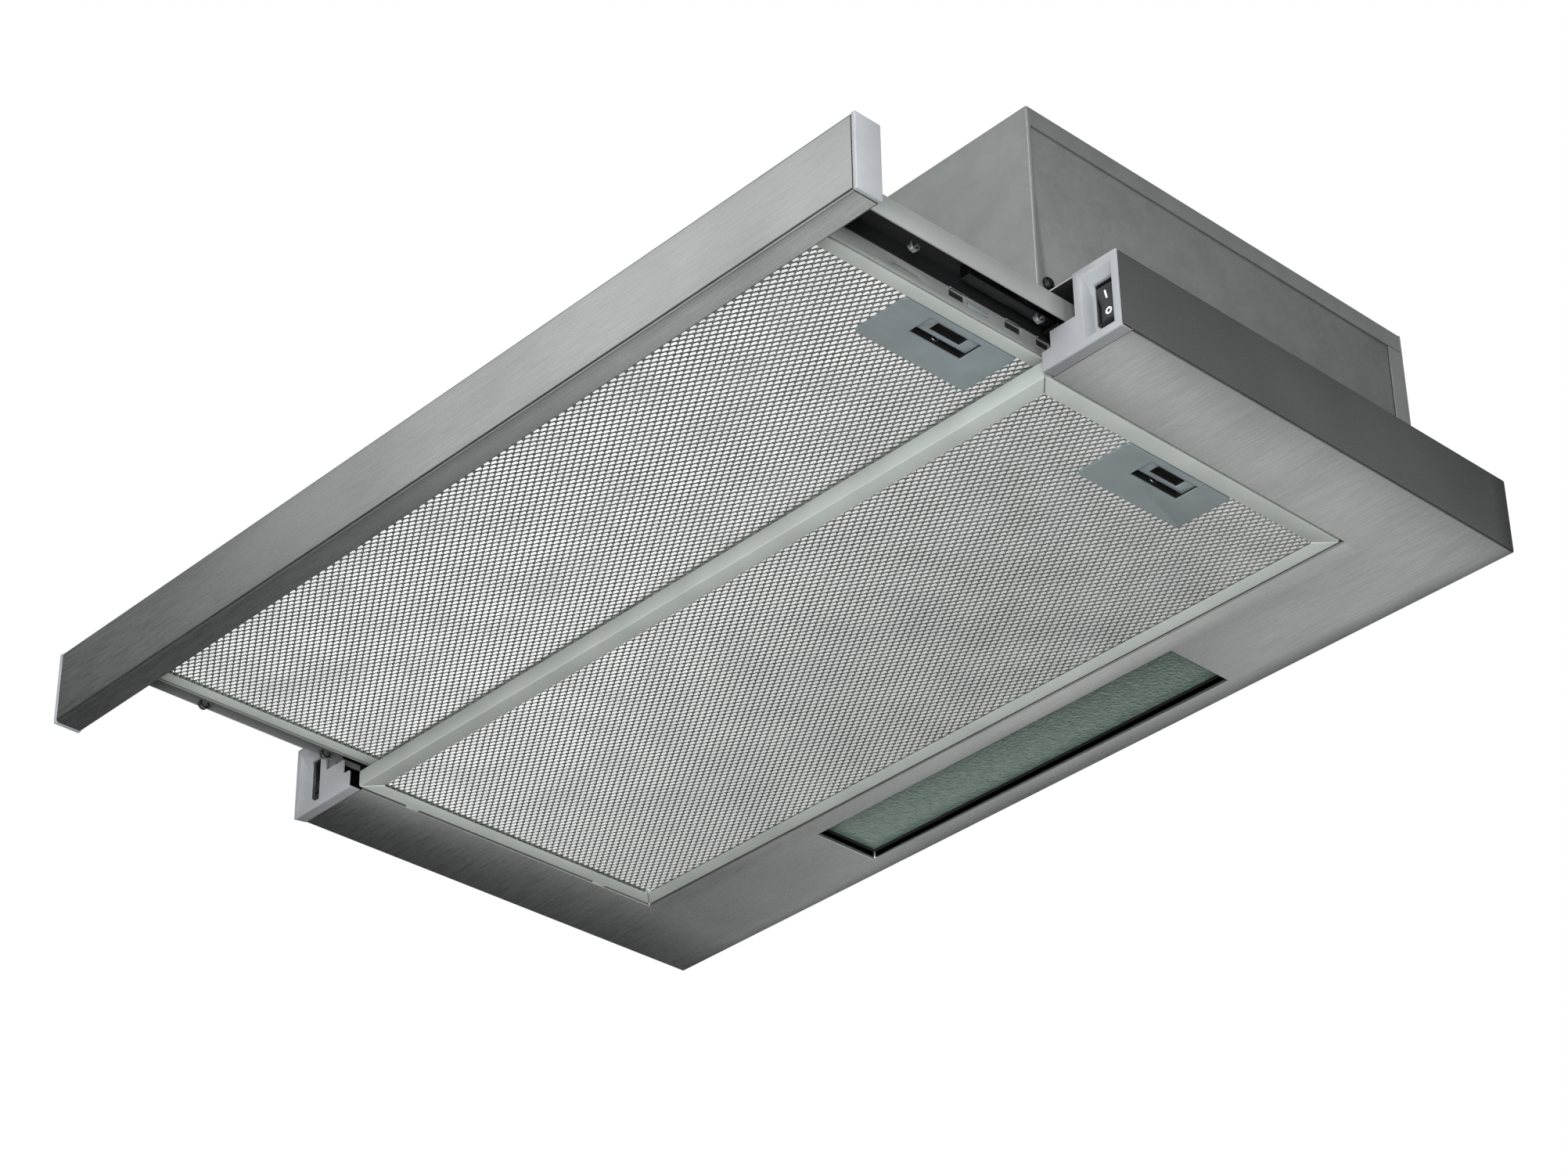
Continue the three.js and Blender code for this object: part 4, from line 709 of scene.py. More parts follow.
# Plated strip: bright and slightly blue-grey
ZINC = Brushed("Zinc-plated steel", "zinc_steel", "A5A9AA", "8F9394", 0.32, 1.0, 1, 0.6)
# Plated strip: nearly black, with faint lines; on the slides the black is painted shade of the channel's
# inside
DARK_ZINC = Brushed("Oiled slide steel", "zinc_steel", "3E4041", "2B2D2E", 0.38, 1.0, 1, 0.6)
# Dipped strip: dull light grey
GALVANISED = Brushed("Galvanised channel strip", "zinc_steel", "A0A4A2", "939795", 0.48, 0.45, 1, 0.6)
# Bright-rolled sheet: a clear but broken mirror
BRIGHT_ALUMINIUM = RolledAluminium(
    "Bright reflector aluminium", "reflector_aluminium", "D8DAD9", "C9CCCB", 0.2, 1.0
)
# Moulded: opaque warm white
WHITE_PBT = Moulded("White PBT", "white_plastic", "DCDCD6", "D2D2CB", 0.45)
# Printed: flat white
INK = Moulded("White pad-print ink", "switch_plastic", "F4F5F5", "E9EBEB", 0.5)
# Painted: flat and pale
FLOOR_PAINT = Moulded("Pale studio floor", "", "E9E9E7", "E4E4E2", 0.7, 0.0, 20.0, 0.0)


def place_piece(obj: Object, finish: Finish, body: Body = Body.HOUSING, *nodes: str) -> Object:
    """Dress a finished piece, tie it to its body and hide the nodes that it stands for.

    Args:
        obj: The piece, with its place in its mesh.
        finish: Its finish.
        body: The body that it rides on.
        nodes: CAD nodes that it replaces.

    Returns:
        The same piece.
    """
    obj.data.materials.clear()
    obj.data.materials.append(finish.material())
    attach(obj, body.value)
    if nodes:
        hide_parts(*nodes)
    LOG.info("%s: %d faces on %s", obj.name, len(obj.data.polygons), body.value)
    return obj


def dress_node(
    node: str,
    word: str,
    finish: Finish,
    width_mm: float = 0.25,
    segments: int = 2,
    body: Body = Body.HOUSING,
    stem: str = "",
) -> Object:
    """Copy a CAD node, round its edges and put it in the node's place.

    Args:
        node: The node.
        word: Last word of the piece's name.
        finish: Its finish.
        width_mm: Width of the rounding.
        segments: Steps in it.
        body: The body that it rides on.
        stem: Start of the piece's name, where it isn't the node's name.

    Returns:
        The piece.
    """
    piece = from_node(f"{stem or node}_{word}", node, width_mm, segments)
    return place_piece(piece, finish, body, node)


# Canopy tray


@dataclass
class CanopyTray:
    """Stainless tray folded from one sheet round the filter opening."""

    sheet_mm: float = 0.8
    bend_mm: float = 1.5
    arm: float = mm(49)
    box_inset: float = mm(50)
    ledge: float = mm(14)
    rear_strip: float = mm(69)
    flange: float = mm(12)
    rear_lip: float = mm(3)
    cap_lip: float = mm(7.9)
    crossmember: float = mm(16)
    window: tuple[Point, Point] = field(default_factory=lambda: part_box("lamp_lens"))

    def build(self) -> None:
        """Fold the tray from a box and dress it."""
        low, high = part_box("canopy_tray")
        tray = add_block("tray_sheet", low, high)
        opening = high[0] - self.arm
        box_side = high[0] - self.box_inset
        inner = box_side - self.ledge
        lens_low, lens_high = self.window
        margin = mm(0.3)
        window_x = lens_high[0] + margin
        window_y = (lens_low[1] - margin, lens_high[1] + margin)
        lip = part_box("end_cap_right")[0][1] + self.cap_lip
        cross = frame_front() + self.crossmember
        places = [(0, sign * x) for sign in (1, -1) for x in (opening, inner, window_x, box_side)]
        places += [(1, y) for y in (-self.rear_strip, lip, cross, frame_front(), *window_y)]
        slice_sheet(tray, [*places, (2, low[2] + self.rear_lip)])

        def gone(at: Vector, normal: Vector) -> bool:
            """Choose the faces in front of the arms and in the tray's openings.

            Args:
                at: Middle of the face.
                normal: Its direction.

            Returns:
                Whether it goes.
            """
            x = abs(at.x)
            if normal.y < -FACING:
                return True
            if normal.z < -FACING:
                in_opening = x < opening and at.y < -self.rear_strip
                in_window = x < window_x and window_y[0] < at.y < window_y[1]
                return in_opening or in_window or at.y < lip
            if normal.z > FACING:
                return x < inner and not frame_front() < at.y < cross
            return normal.y > FACING and x < box_side and at.z > low[2] + self.rear_lip

        drop_faces(tray, gone)
        self.turn_up(tray, low[2], opening, self.flange, lambda y: y < -self.rear_strip + margin)
        self.turn_up(tray, low[2], window_x, mm(4.4), lambda y: y > window_y[0] - margin)
        bend_edges(tray, self.bend_mm)
        thicken(tray, self.sheet_mm)
        soften(tray, 0)
        place_piece(tray, STAINLESS, Body.HOUSING, "canopy_tray")

    def turn_up(
        self, tray: Object, level: float, reach: float, height: float, within: Callable[[float], bool]
    ) -> None:
        """Fold up the edges of a hole in the tray's bottom.

        Args:
            tray: The open sheet.
            level: Height of the bottom.
            reach: Half the hole's width.
            height: Height of the turned-up edge.
            within: Says whether a place along Y belongs to the hole.
        """
        near = mm(0.2)

        def on_rim(edge: bmesh.types.BMEdge) -> bool:
            """Choose the open edges along the hole's rim.

            Args:
                edge: The edge.

            Returns:
                Whether it is one.
            """
            if len(edge.link_faces) != 1:
                return False
            middle = (edge.verts[0].co + edge.verts[1].co) / 2
            return abs(middle.z - level) < near and abs(middle.x) < reach + near and within(middle.y)

        with editing(tray, "EDGE"):
            if pick(tray, "edges", on_rim):
                bpy.ops.mesh.extrude_edges_move(TRANSFORM_OT_translate={"value": (0, 0, height)})


def frame_front() -> float:
    """Place along Y of the motor box's front."""
    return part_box("box_shell")[0][1]


# Motor box


@dataclass
class MotorBox:
    """Grey box above the tray: folded shell, side panels, rear panel and their screws."""

    sheet_mm: float = 0.8
    bend_mm: float = 1.2
    strip: float = mm(11)
    corner: float = mm(2.2)
    outlet_radius: float = mm(57.4)
    gland_radius: float = mm(6.3)
    cut_reach: float = mm(4)

    def build(self) -> None:
        """Build the shell and dress the panels."""
        self.shell()
        for side in Side:
            dress_node(f"side_panel_{side.label}", "sheet", COATED, 0.2)
            dress_node(f"box_screw_{side.label}", "head", DARK_ZINC)
        dress_node("rear_panel", "sheet", COATED)

    def shell(self) -> None:
        """Fold the front and top sheet, with its strips down the sides."""
        low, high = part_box("box_shell")
        shell = add_block("box_shell_sheet", low, high)
        slice_sheet(shell, [(2, high[2] - self.strip), (1, low[1] + self.corner)])

        def gone(at: Vector, normal: Vector) -> bool:
            """Choose the faces that leave only the top, the front and their strips.

            Args:
                at: Middle of the face.
                normal: Its direction.

            Returns:
                Whether it goes.
            """
            if normal.z < -FACING or normal.y > FACING:
                return True
            is_side = abs(normal.x) > FACING
            return is_side and at.z < high[2] - self.strip and at.y > low[1] + self.corner

        drop_faces(shell, gone)
        bend_edges(shell, self.bend_mm)
        thicken(shell, self.sheet_mm)
        top = (high[2] - self.cut_reach, high[2] + self.cut_reach)
        outlet = add_round("outlet_cutter", self.outlet_radius, top, centre_xy("duct_collar"), sides=96)
        gland = add_round("gland_cutter", self.gland_radius, top, centre_xy("cable_gland"))
        carve(shell, outlet, gland)
        soften(shell, 0)
        place_piece(shell, COATED, Body.HOUSING, "box_shell")


# End caps and switches


@dataclass
class FrontControls:
    """End caps of the arms, with the light switch on the right and the speed switch on the left."""

    edge_mm: float = 0.45
    mark: float = mm(0.12)
    tilt: float = math.radians(9)
    slope: float = math.atan2(1.4, 8.4)
    face: float = mm(3.9)
    tilt_offset: float = mm(3.2)
    half_offset: float = mm(3.88)
    bar_width: float = mm(1)
    bar_span: Span = (mm(2.4), mm(6.2))
    ring_radii: Span = (mm(1.9), mm(0.95))
    ring_level: float = mm(-4.2)
    dot_radii: tuple[float, ...] = (mm(0.55), mm(0.7), mm(0.85))
    dot_inset: float = mm(1.7)
    dot_start: float = mm(9)
    dot_pitch: float = mm(4.3)

    def build(self) -> None:
        """Build the caps, the switches and their marks."""
        for side in Side:
            node = f"end_cap_{side.label}"
            dress_node(node, "moulding", CAP_ABS, self.edge_mm, 3)
        for node in ("light_switch_body", "speed_switch_body"):
            dress_node(node, "case", SWITCH_BLACK, 0.3)
        dress_node("light_rocker", "paddle", SATIN_BLACK, 0.4, 3, body=Body.LIGHT_ROCKER)
        dress_node("speed_knob", "grip", SWITCH_BLACK, 0.2, body=Body.SPEED_KNOB)
        self.rocker_marks()
        self.speed_marks()

    def rocker_marks(self) -> None:
        """The bar of the on side and the ring of the off side, printed on the rocker."""
        x = centre_xy("light_switch_body")[0]
        half = self.bar_width / 2
        front = -self.face - self.mark
        bar = add_block(
            "light_mark_on", (x - half, front, self.bar_span[0]), (x + half, -self.face, self.bar_span[1])
        )
        centre = (x, self.ring_level)
        ring = add_round("light_mark_off", self.ring_radii[0], (front, -self.face), centre, "y", 32)
        through = (-self.face - mm(1), -self.face + mm(1))
        carve(ring, add_round("ring_cutter", self.ring_radii[1], through, centre, "y", 24))
        for mark, lean in ((bar, self.slope), (ring, -self.slope)):
            self.lay_on_paddle(mark, lean)
            place_piece(mark, INK, Body.LIGHT_ROCKER)

    def lay_on_paddle(self, mark: Object, lean: float) -> None:
        """Tilt a mark with its half of the rocker and move it to the rocker's pivot.

        Args:
            mark: The mark, with its place given from the pivot.
            lean: Slope of its half.
        """
        pivot = joint_place("light_rocker_tilt")
        place = Matrix.Translation((0, pivot.y, pivot.z))
        turn = Matrix.Rotation(self.tilt, 4, "X") @ Matrix.Translation((0, -self.tilt_offset, 0))
        half = Matrix.Rotation(lean, 4, "X") @ Matrix.Translation((0, self.half_offset, 0))
        mark.matrix_world = place @ turn @ half
        make_active(mark)
        settle_place(mark.name)

    def speed_marks(self) -> None:
        """Three dots that grow with the fan's speed, beside the knob's slot."""
        low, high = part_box("speed_switch_body")
        span = (low[1] - self.mark, low[1])
        for i, radius in enumerate(self.dot_radii):
            centre = (high[0] - self.dot_inset, low[2] + self.dot_start + i * self.dot_pitch)
            dot = add_round(f"speed_mark_{i + 1}", radius, span, centre, "y", 24)
            place_piece(dot, INK)


# Lamp


@dataclass
class Lamp:
    """Lens with its frame, reflector, holders and lamps in the rear strip."""

    rim: float = mm(1.6)
    sink: float = mm(0.5)

    def build(self) -> None:
        """Build and dress the lamp's pieces."""
        lens = add_block("lamp_lens_plate", *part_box("lamp_lens"))
        with editing(lens):
            pick(lens, "faces", lambda f: f.normal.z < -FACING)
            bpy.ops.mesh.inset(thickness=self.rim)
            bpy.ops.transform.translate(value=(0, 0, self.sink))
        soften(lens, 0.3)
        place_piece(lens, LENS, Body.HOUSING, "lamp_lens")
        dress_node("lamp_frame", "rim", MATT_BLACK, 0.4)
        dress_node("lamp_reflector", "trough", BRIGHT_ALUMINIUM)
        for side in Side:
            dress_node(f"lamp_holder_{side.label}", "shell", WHITE_PBT, 0.4)
            dress_node(f"bulb_{side.label}", "glass", LAMP_GLASS, 0)


# Grease filters


@dataclass
class FilterCassette:
    """Aluminium grease filter: mitred frame, expanded mesh and latch."""

    prefix: str
    body: Body
    latch_body: Body
    lip: float = mm(10)
    fold_mm: float = 0.7
    mitre_gap: float = mm(0.12)
    long_way: float = mm(6.0)
    short_way: float = mm(3.75)
    strand_width: float = mm(1.25)
    strand_thickness: float = mm(0.35)
    strand_tilt: float = math.radians(38)
    bond: float = mm(0.42)
    mesh_level: float = mm(1.65)
    backing_level: float = mm(4.4)
    plate_corner: float = mm(2.2)
    pocket: Span = (mm(17.45), mm(3.45))
    pocket_length: float = mm(32.2)
    window: Span = (mm(11.35), mm(5.25))
    window_length: float = mm(18.9)
    window_heights: Span = (mm(1.9), mm(5.65))
    pocket_heights: Span = (mm(0.9), mm(7.25))
    # thickness of the black sheets that paint the shade in the latch's pocket and window
    liner_mm: float = 0.15
    hooked: bool = False
    hook_reach: float = mm(2.2)
    hook_offset: float = mm(65)
    hook_half: float = mm(4)
    hook_grip: float = mm(1)
    hook_heights: Span = (mm(0.1), mm(1.1))
    groove_wall: float = mm(1)
    groove_back: float = mm(1.4)
    mesh_grip: float = mm(3)
    backing_grip: float = mm(4)
    backing_thickness: float = mm(0.6)
    plate_overlap: float = mm(1.5)
    plate_margin: float = mm(0.2)

    def build(self) -> None:
        """Build the frame, both mesh layers and the latch."""
        self.low, self.high = (Vector(corner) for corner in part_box(f"{self.prefix}_frame"))
        if self.hooked:
            self.low.x += self.hook_reach
        self.frame()
        self.outer_mesh()
        self.inner_mesh()
        self.latch()

    def bar(self, name: str, along: int, at_high: bool) -> Object:
        """One mitred side of the frame.

        Args:
            name: The bar's name.
            along: The axis that it runs along, 0 or 1.
            at_high: Whether it is the side at the high end of the other axis.

        Returns:
            The bar.
        """
        other = 1 - along
        low = self.low.copy()
        high = self.high.copy()
        if at_high:
            low[other] = high[other] - self.lip
        else:
            high[other] = low[other] + self.lip
        inner = low[other] if at_high else high[other]
        bar = add_block(name, low, high)
        middle = (self.low[along] + self.high[along]) / 2
        with editing(bar, "VERT"):
            for sign in (1, -1):
                pick(
                    bar,
                    "verts",
                    lambda v, s=sign: abs(v.co[other] - inner) < mm(0.1) and s * (v.co[along] - middle) > 0,
                )
                shift = [0.0, 0.0, 0.0]
                shift[along] = -sign * self.lip
                bpy.ops.transform.translate(value=shift)
            for sign in (1, -1):
                pick(bar, "verts", lambda v, s=sign: s * (v.co[along] - middle) > 0)
                shift = [0.0, 0.0, 0.0]
                shift[along] = -sign * self.mitre_gap
                bpy.ops.transform.translate(value=shift)
        self.open_groove(bar, other, at_high)
        return bar

    def open_groove(self, bar: Object, other: int, at_high: bool) -> None:
        """Sink the groove that grips the mesh into a bar's inner side.

        Args:
            bar: The bar.
            other: The axis across it.
            at_high: Whether it is the side at the high end of that axis.
        """
        way = -1.0 if at_high else 1.0
        with editing(bar):
            pick(bar, "faces", lambda f: f.normal[other] * way > FACING)
            bpy.ops.mesh.inset(thickness=self.groove_wall)
            shift = [0.0, 0.0, 0.0]
            shift[other] = -way * (self.lip - self.groove_back)
            bpy.ops.transform.translate(value=shift)

    def frame(self) -> None:
        """Build the four mitred sides, with the hooks of a hanging filter."""
        bars = [
            self.bar(f"{self.prefix}_bar_{i}", along, at_high)
            for i, (along, at_high) in enumerate(((0, False), (0, True), (1, False), (1, True)))
        ]
        for bar in bars:
            soften(bar, self.fold_mm, 3)
        if self.hooked:
            y = joint_place("main_filter_swing").y
            bottom, top = self.hook_heights
            for i, offset in enumerate((-self.hook_offset, self.hook_offset)):
                hook = add_block(
                    f"{self.prefix}_hook_{i}",
                    (self.low.x - self.hook_reach, y + offset - self.hook_half, self.low.z + bottom),
                    (self.low.x + self.hook_grip, y + offset + self.hook_half, self.low.z + top),
                )
                soften(hook, 0.25)
                bars.append(hook)
        whole = merge(f"{self.prefix}_frame_strip", *bars)
        place_piece(whole, FRAME_ALUMINIUM, self.body, f"{self.prefix}_frame")

    def zigzag(self, start: float, rise: float) -> Object:
        """One period of a strand, a tilted ribbon that rises and falls across the mesh.

        Args:
            start: Its place across the mesh at both ends.
            rise: How far it goes across the mesh by the middle.

        Returns:
            The strand.
        """
        half = self.strand_width / 2
        thin = self.strand_thickness / 2
        step = self.long_way / 2
        strand = add_block("strand", (0, -half, -thin), (step, half, thin))
        with editing(strand, "VERT"):
            bpy.ops.mesh.select_all(action="SELECT")
            bpy.ops.transform.rotate(value=self.strand_tilt, orient_axis="X", center_override=(0, 0, 0))
            bpy.ops.transform.translate(value=(0, start, 0))
            pick(strand, "verts", lambda v: v.co.x > step / 2)
            bpy.ops.transform.translate(value=(0, rise, 0))
        with editing(strand):
            pick(strand, "faces", lambda f: f.normal.x > FACING)
            bpy.ops.mesh.extrude_region_move(TRANSFORM_OT_translate={"value": (step, -rise, 0)})
        drop_faces(strand, lambda at, normal: abs(normal.x) > 0.95)
        return strand

    def outer_mesh(self) -> None:
        """Build the expanded mesh that shows, cut out round the latch plate."""
        rise = self.short_way / 2 - 2 * self.bond
        lower = self.zigzag(self.bond, rise)
        upper = self.zigzag(self.short_way - self.bond, -rise)
        unit = merge(f"{self.prefix}_mesh_strands", lower, upper)
        inner = [self.high[i] - self.low[i] - 2 * (self.lip - self.mesh_grip) for i in (0, 1)]
        counts = [round(inner[0] / self.long_way), round(inner[1] / self.short_way)]
        steps = [(self.long_way, 0, 0), (0, self.short_way, 0)]
        for count, step, name in zip(counts, steps, ("columns", "rows"), strict=True):
            use_modifier(
                unit,
                "ARRAY",
                count=count,
                use_relative_offset=False,
                use_constant_offset=True,
                constant_offset_displace=step,
                use_merge_vertices=name == "columns",
                merge_threshold=MERGE_DISTANCE,
            )
        centre = (self.low + self.high) / 2
        shift = (
            centre.x - counts[0] * self.long_way / 2,
            centre.y - counts[1] * self.short_way / 2,
            self.low.z + self.mesh_level,
        )
        with editing(unit):
            bpy.ops.mesh.select_all(action="SELECT")
            bpy.ops.transform.translate(value=shift)
            bpy.ops.mesh.fill_holes(sides=4)
        plate_low, plate_high = (Vector(corner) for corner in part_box(f"{self.prefix}_latch_plate"))
        inside = self.plate_overlap
        drop_faces(
            unit,
            lambda at, normal: plate_low.x + inside < at.x < plate_high.x - inside
            and plate_low.y + inside < at.y < plate_high.y - inside,
        )
        place_piece(unit, MESH_ALUMINIUM, self.body, f"{self.prefix}_mesh")

    def inner_mesh(self) -> None:
        """Build the inner layers as one quilted sheet behind the outer mesh, dark with painted shade."""
        edge = self.lip - self.backing_grip
        z = self.low.z + self.backing_level
        plate_low, plate_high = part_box(f"{self.prefix}_latch_plate")
        sheet = add_block(
            f"{self.prefix}_mesh_backing",
            (self.low.x + edge, self.low.y + edge, z),
            (self.high.x - edge, self.high.y - edge, z + self.backing_thickness),
        )
        margin = self.plate_margin
        window = add_block(
            "latch_cutter",
            (plate_low[0] - margin, plate_low[1] - margin, z - mm(5)),
            (plate_high[0] + margin, plate_high[1] + margin, z + mm(5)),
        )
        carve(sheet, window)
        soften(sheet, 0.15)
        place_piece(sheet, DEEP_MESH, self.body)

    def latch(self) -> None:
        """Dress the latch plate, its slider and its spring."""
        prefix = self.prefix
        plate = from_node(f"{prefix}_latch_moulding", f"{prefix}_latch_plate", 0)
        low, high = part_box(f"{prefix}_latch_plate")
        near = mm(0.1)

        def at_corner(edge: bmesh.types.BMEdge) -> bool:
            """Choose the upright edges at the plate's four corners.

            Args:
                edge: The edge.

            Returns:
                Whether it is one.
            """
            a, b = (vertex.co for vertex in edge.verts)
            if abs(a.x - b.x) > near or abs(a.y - b.y) > near:
                return False
            return min(a.x - low[0], high[0] - a.x) < near and min(a.y - low[1], high[1] - a.y) < near

        with editing(plate, "EDGE"):
            if pick(plate, "edges", at_corner):
                bpy.ops.mesh.bevel(offset=self.plate_corner, segments=5, affect="EDGES")
        soften(plate, 0.35, 3)
        place_piece(plate, LATCH_ABS, self.body, f"{prefix}_latch_plate")
        stem = f"{prefix}_latch"
        dress_node(f"{stem}_slider", "bolt", LATCH_ABS, 0.3, body=self.latch_body, stem=stem)
        self.latch_shadows(high[0])
        dress_node(f"{stem}_spring", "coil", ZINC, 0, body=self.body, stem=stem)

    def latch_shadows(self, edge: float) -> None:
        """Black sheets of painted shade in the latch's pocket and in the slider's finger window.

        Args:
            edge: Place along X of the plate's right side.
        """
        y = centre_xy(f"{self.prefix}_latch_slider")[1]
        shade_sheets = (
            ("pocket_liner", self.body, self.pocket, self.pocket_length, self.pocket_heights),
            ("window_liner", self.latch_body, self.window, self.window_length, self.window_heights),
        )
        # each sheet is painted shade: black where the recess lies in shadow
        for name, body, places, length, heights in shade_sheets:
            low = (edge - places[0], y - length / 2, self.low.z + heights[0])
            high = (edge - places[1], y + length / 2, self.low.z + heights[1])
            shade_sheet = add_block(f"{self.prefix}_{name}", low, high)
            drop_faces(shade_sheet, lambda at, normal: normal.z < -FACING)
            thicken(shade_sheet, self.liner_mm)
            soften(shade_sheet, 0)
            place_piece(shade_sheet, MATT_BLACK, body)


# Visor


@dataclass
class Visor:
    """Front bar with its ends, the side channels and the crossbar."""

    sheet_mm: float = 0.8
    bend_mm: float = 1.6
    lip: float = mm(9)
    clip_places: Span = (mm(51.8), mm(129.8))
    clip_radius: float = mm(2.9)
    clip_wire: float = mm(0.9)
    clip_width: float = mm(2.4)
    clip_inset: float = mm(5.2)
    clip_level: float = mm(6)
    clip_mouth: float = mm(1.2)
    lance_places: tuple[float, ...] = (mm(86.5), mm(121.8), mm(141.9))
    lance_length: float = mm(9.5)
    lance_height: float = mm(1.1)
    lance_rise: float = mm(7.9)
    lance_reach: float = mm(1.2)
    # height and thickness of the black strip of painted shade in each channel
    guide_level: float = mm(8.8)
    guide_mm: float = 0.45

    def build(self) -> None:
        """Build the bar and dress the rest."""
        self.bar()
        for side in Side:
            cap = f"visor_bar_cap_{side.label}"
            dress_node(cap, "moulding", CAP_ABS, 0.6, 3, body=Body.VISOR)
            dress_node(f"visor_channel_{side.label}", "fold", GALVANISED, 0.2, body=Body.VISOR)
            dress_node(f"channel_screw_{side.label}", "head", ZINC, body=Body.VISOR)
            self.guide(side)
            self.clips(side)
            self.lances(side)
        dress_node("visor_crossbar", "angle", ZINC, body=Body.VISOR)

    def bar(self) -> None:
        """Fold the bar round from one sheet, open along the middle of its back."""
        low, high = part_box("visor_bar")
        bar = add_block("visor_bar_sheet", low, high)
        slice_sheet(bar, [(2, low[2] + self.lip), (2, high[2] - self.lip)])

        def gone(at: Vector, normal: Vector) -> bool:
            """Choose the faces at the bar's ends and in the slot along its back.

            Args:
                at: Middle of the face.
                normal: Its direction.

            Returns:
                Whether it goes.
            """
            if abs(normal.x) > FACING:
                return True
            return normal.y > FACING and low[2] + self.lip < at.z < high[2] - self.lip

        drop_faces(bar, gone)
        bend_edges(bar, self.bend_mm, 5)
        thicken(bar, self.sheet_mm)
        soften(bar, 0)
        place_piece(bar, STAINLESS, Body.VISOR, "visor_bar")

    def guide(self, side: Side) -> None:
        """Black strip folded into the top of a channel: painted shade where the channel's inside lies in
        shadow.

        Args:
            side: The channel's side.
        """
        low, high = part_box(f"visor_channel_{side.label}")
        gap = mm(self.sheet_mm + 0.02)
        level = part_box("visor_filter_frame")[0][2] + self.guide_level
        strip = add_block(
            f"guide_strip_{side.label}",
            (low[0] + gap, low[1] + gap, level),
            (high[0] - gap, high[1] - gap, high[2] - gap),
        )
        drop_faces(strip, lambda at, normal: normal.z < -FACING or abs(normal.y) > FACING)
        drop_faces(strip, lambda at, normal: normal.x * side.value > FACING)
        thicken(strip, self.guide_mm)
        soften(strip, 0.1)
        place_piece(strip, MATT_BLACK, Body.VISOR)

    def clips(self, side: Side) -> None:
        """Two bright wire clips that hang in a channel.

        Args:
            side: The channel's side.
        """
        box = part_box(f"visor_channel_{side.label}")
        x = box[side is Side.RIGHT][0] - side.value * self.clip_inset
        half = self.clip_width / 2
        cut = (x - 2 * half, x + 2 * half)
        y = self.bar_back() + self.clip_places[0]
        z = box[0][2] + self.clip_level
        reach = 2 * self.clip_radius
        name = f"slide_clip_{side.label}"
        clip = add_round(f"{name}_1", self.clip_radius, (x - half, x + half), (y, z), "x", 32)
        opening = add_round("clip_cutter", self.clip_radius - self.clip_wire, cut, (y, z), "x", 32)
        mouth = z + self.clip_mouth
        above = add_block("clip_top_cutter", (cut[0], y - reach, mouth), (cut[1], y + reach, z + reach))
        carve(clip, opening, above)
        soften(clip, 0.3)
        shift = (0, self.clip_places[1] - self.clip_places[0], 0)
        for piece in (clip, copy_object(clip, f"{name}_2", shift)):
            place_piece(piece, ZINC, Body.VISOR)

    def lances(self, side: Side) -> None:
        """Bright lips over the openings of a channel's inner wall, and black sheets of painted shade behind
        them.

        Args:
            side: The channel's side.
        """
        way = side.value
        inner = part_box(f"visor_channel_{side.label}")[side is Side.LEFT][0]
        face = inner + way * mm(self.sheet_mm)
        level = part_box("visor_filter_frame")[0][2] + self.lance_rise
        start = self.bar_back() + self.lance_places[0]
        end = start + self.lance_length
        span = sorted((face, face + way * self.lance_reach))
        top = level + self.lance_height
        lip = add_block(f"lance_{side.label}_1", (span[0], start, level), (span[1], end, top))
        soften(lip, 0.4, 3)
        self.repeat(lip, f"lance_{side.label}", ZINC)
        # black sheet behind each opening: painted shade inside the hole
        span = sorted((inner - way * mm(0.05), inner - way * mm(0.4)))
        margin = mm(0.4)
        hole_shade = add_block(
            f"lance_shade_{side.label}_1",
            (span[0], start - margin, level - mm(4.2)),
            (span[1], end + margin, level + mm(0.3)),
        )
        soften(hole_shade, 0.05)
        self.repeat(hole_shade, f"lance_shade_{side.label}", MATT_BLACK)

    def repeat(self, first: Object, name: str, finish: Finish) -> None:
        """Copy a piece of the first opening to the other openings and dress them all.

        Args:
            first: The piece.
            name: Start of the copies' names.
            finish: Their finish.
        """
        pieces = [first]
        for i, place in enumerate(self.lance_places[1:], 2):
            pieces.append(copy_object(first, f"{name}_{i}", (0, place - self.lance_places[0], 0)))
        for piece in pieces:
            place_piece(piece, finish, Body.VISOR)

    def bar_back(self) -> float:
        """Place along Y of the bar's back."""
        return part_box("visor_bar")[1][1]


@dataclass
class Slides:
    """Fixed rails, middle members and the microswitch behind them."""

    def build(self) -> None:
        """Dress the slides and the microswitch."""
        for side in Side:
            label = side.label
            # the slides' near-black is painted shade of the channel's inside
            dress_node(f"slide_rail_{label}", "trough", DARK_ZINC)
            middle = Body(f"rail_middle_{label}")
            dress_node(f"slide_middle_{label}", "bar", DARK_ZINC, 0.3, body=middle)
        stem = "microswitch"
        dress_node(f"{stem}_body", "case", MATT_BLACK, 0.3, stem=stem)
        dress_node(f"{stem}_plunger", "button", WHITE_PBT, 0.3, body=Body.PLUNGER, stem=stem)


# Fan and outlet


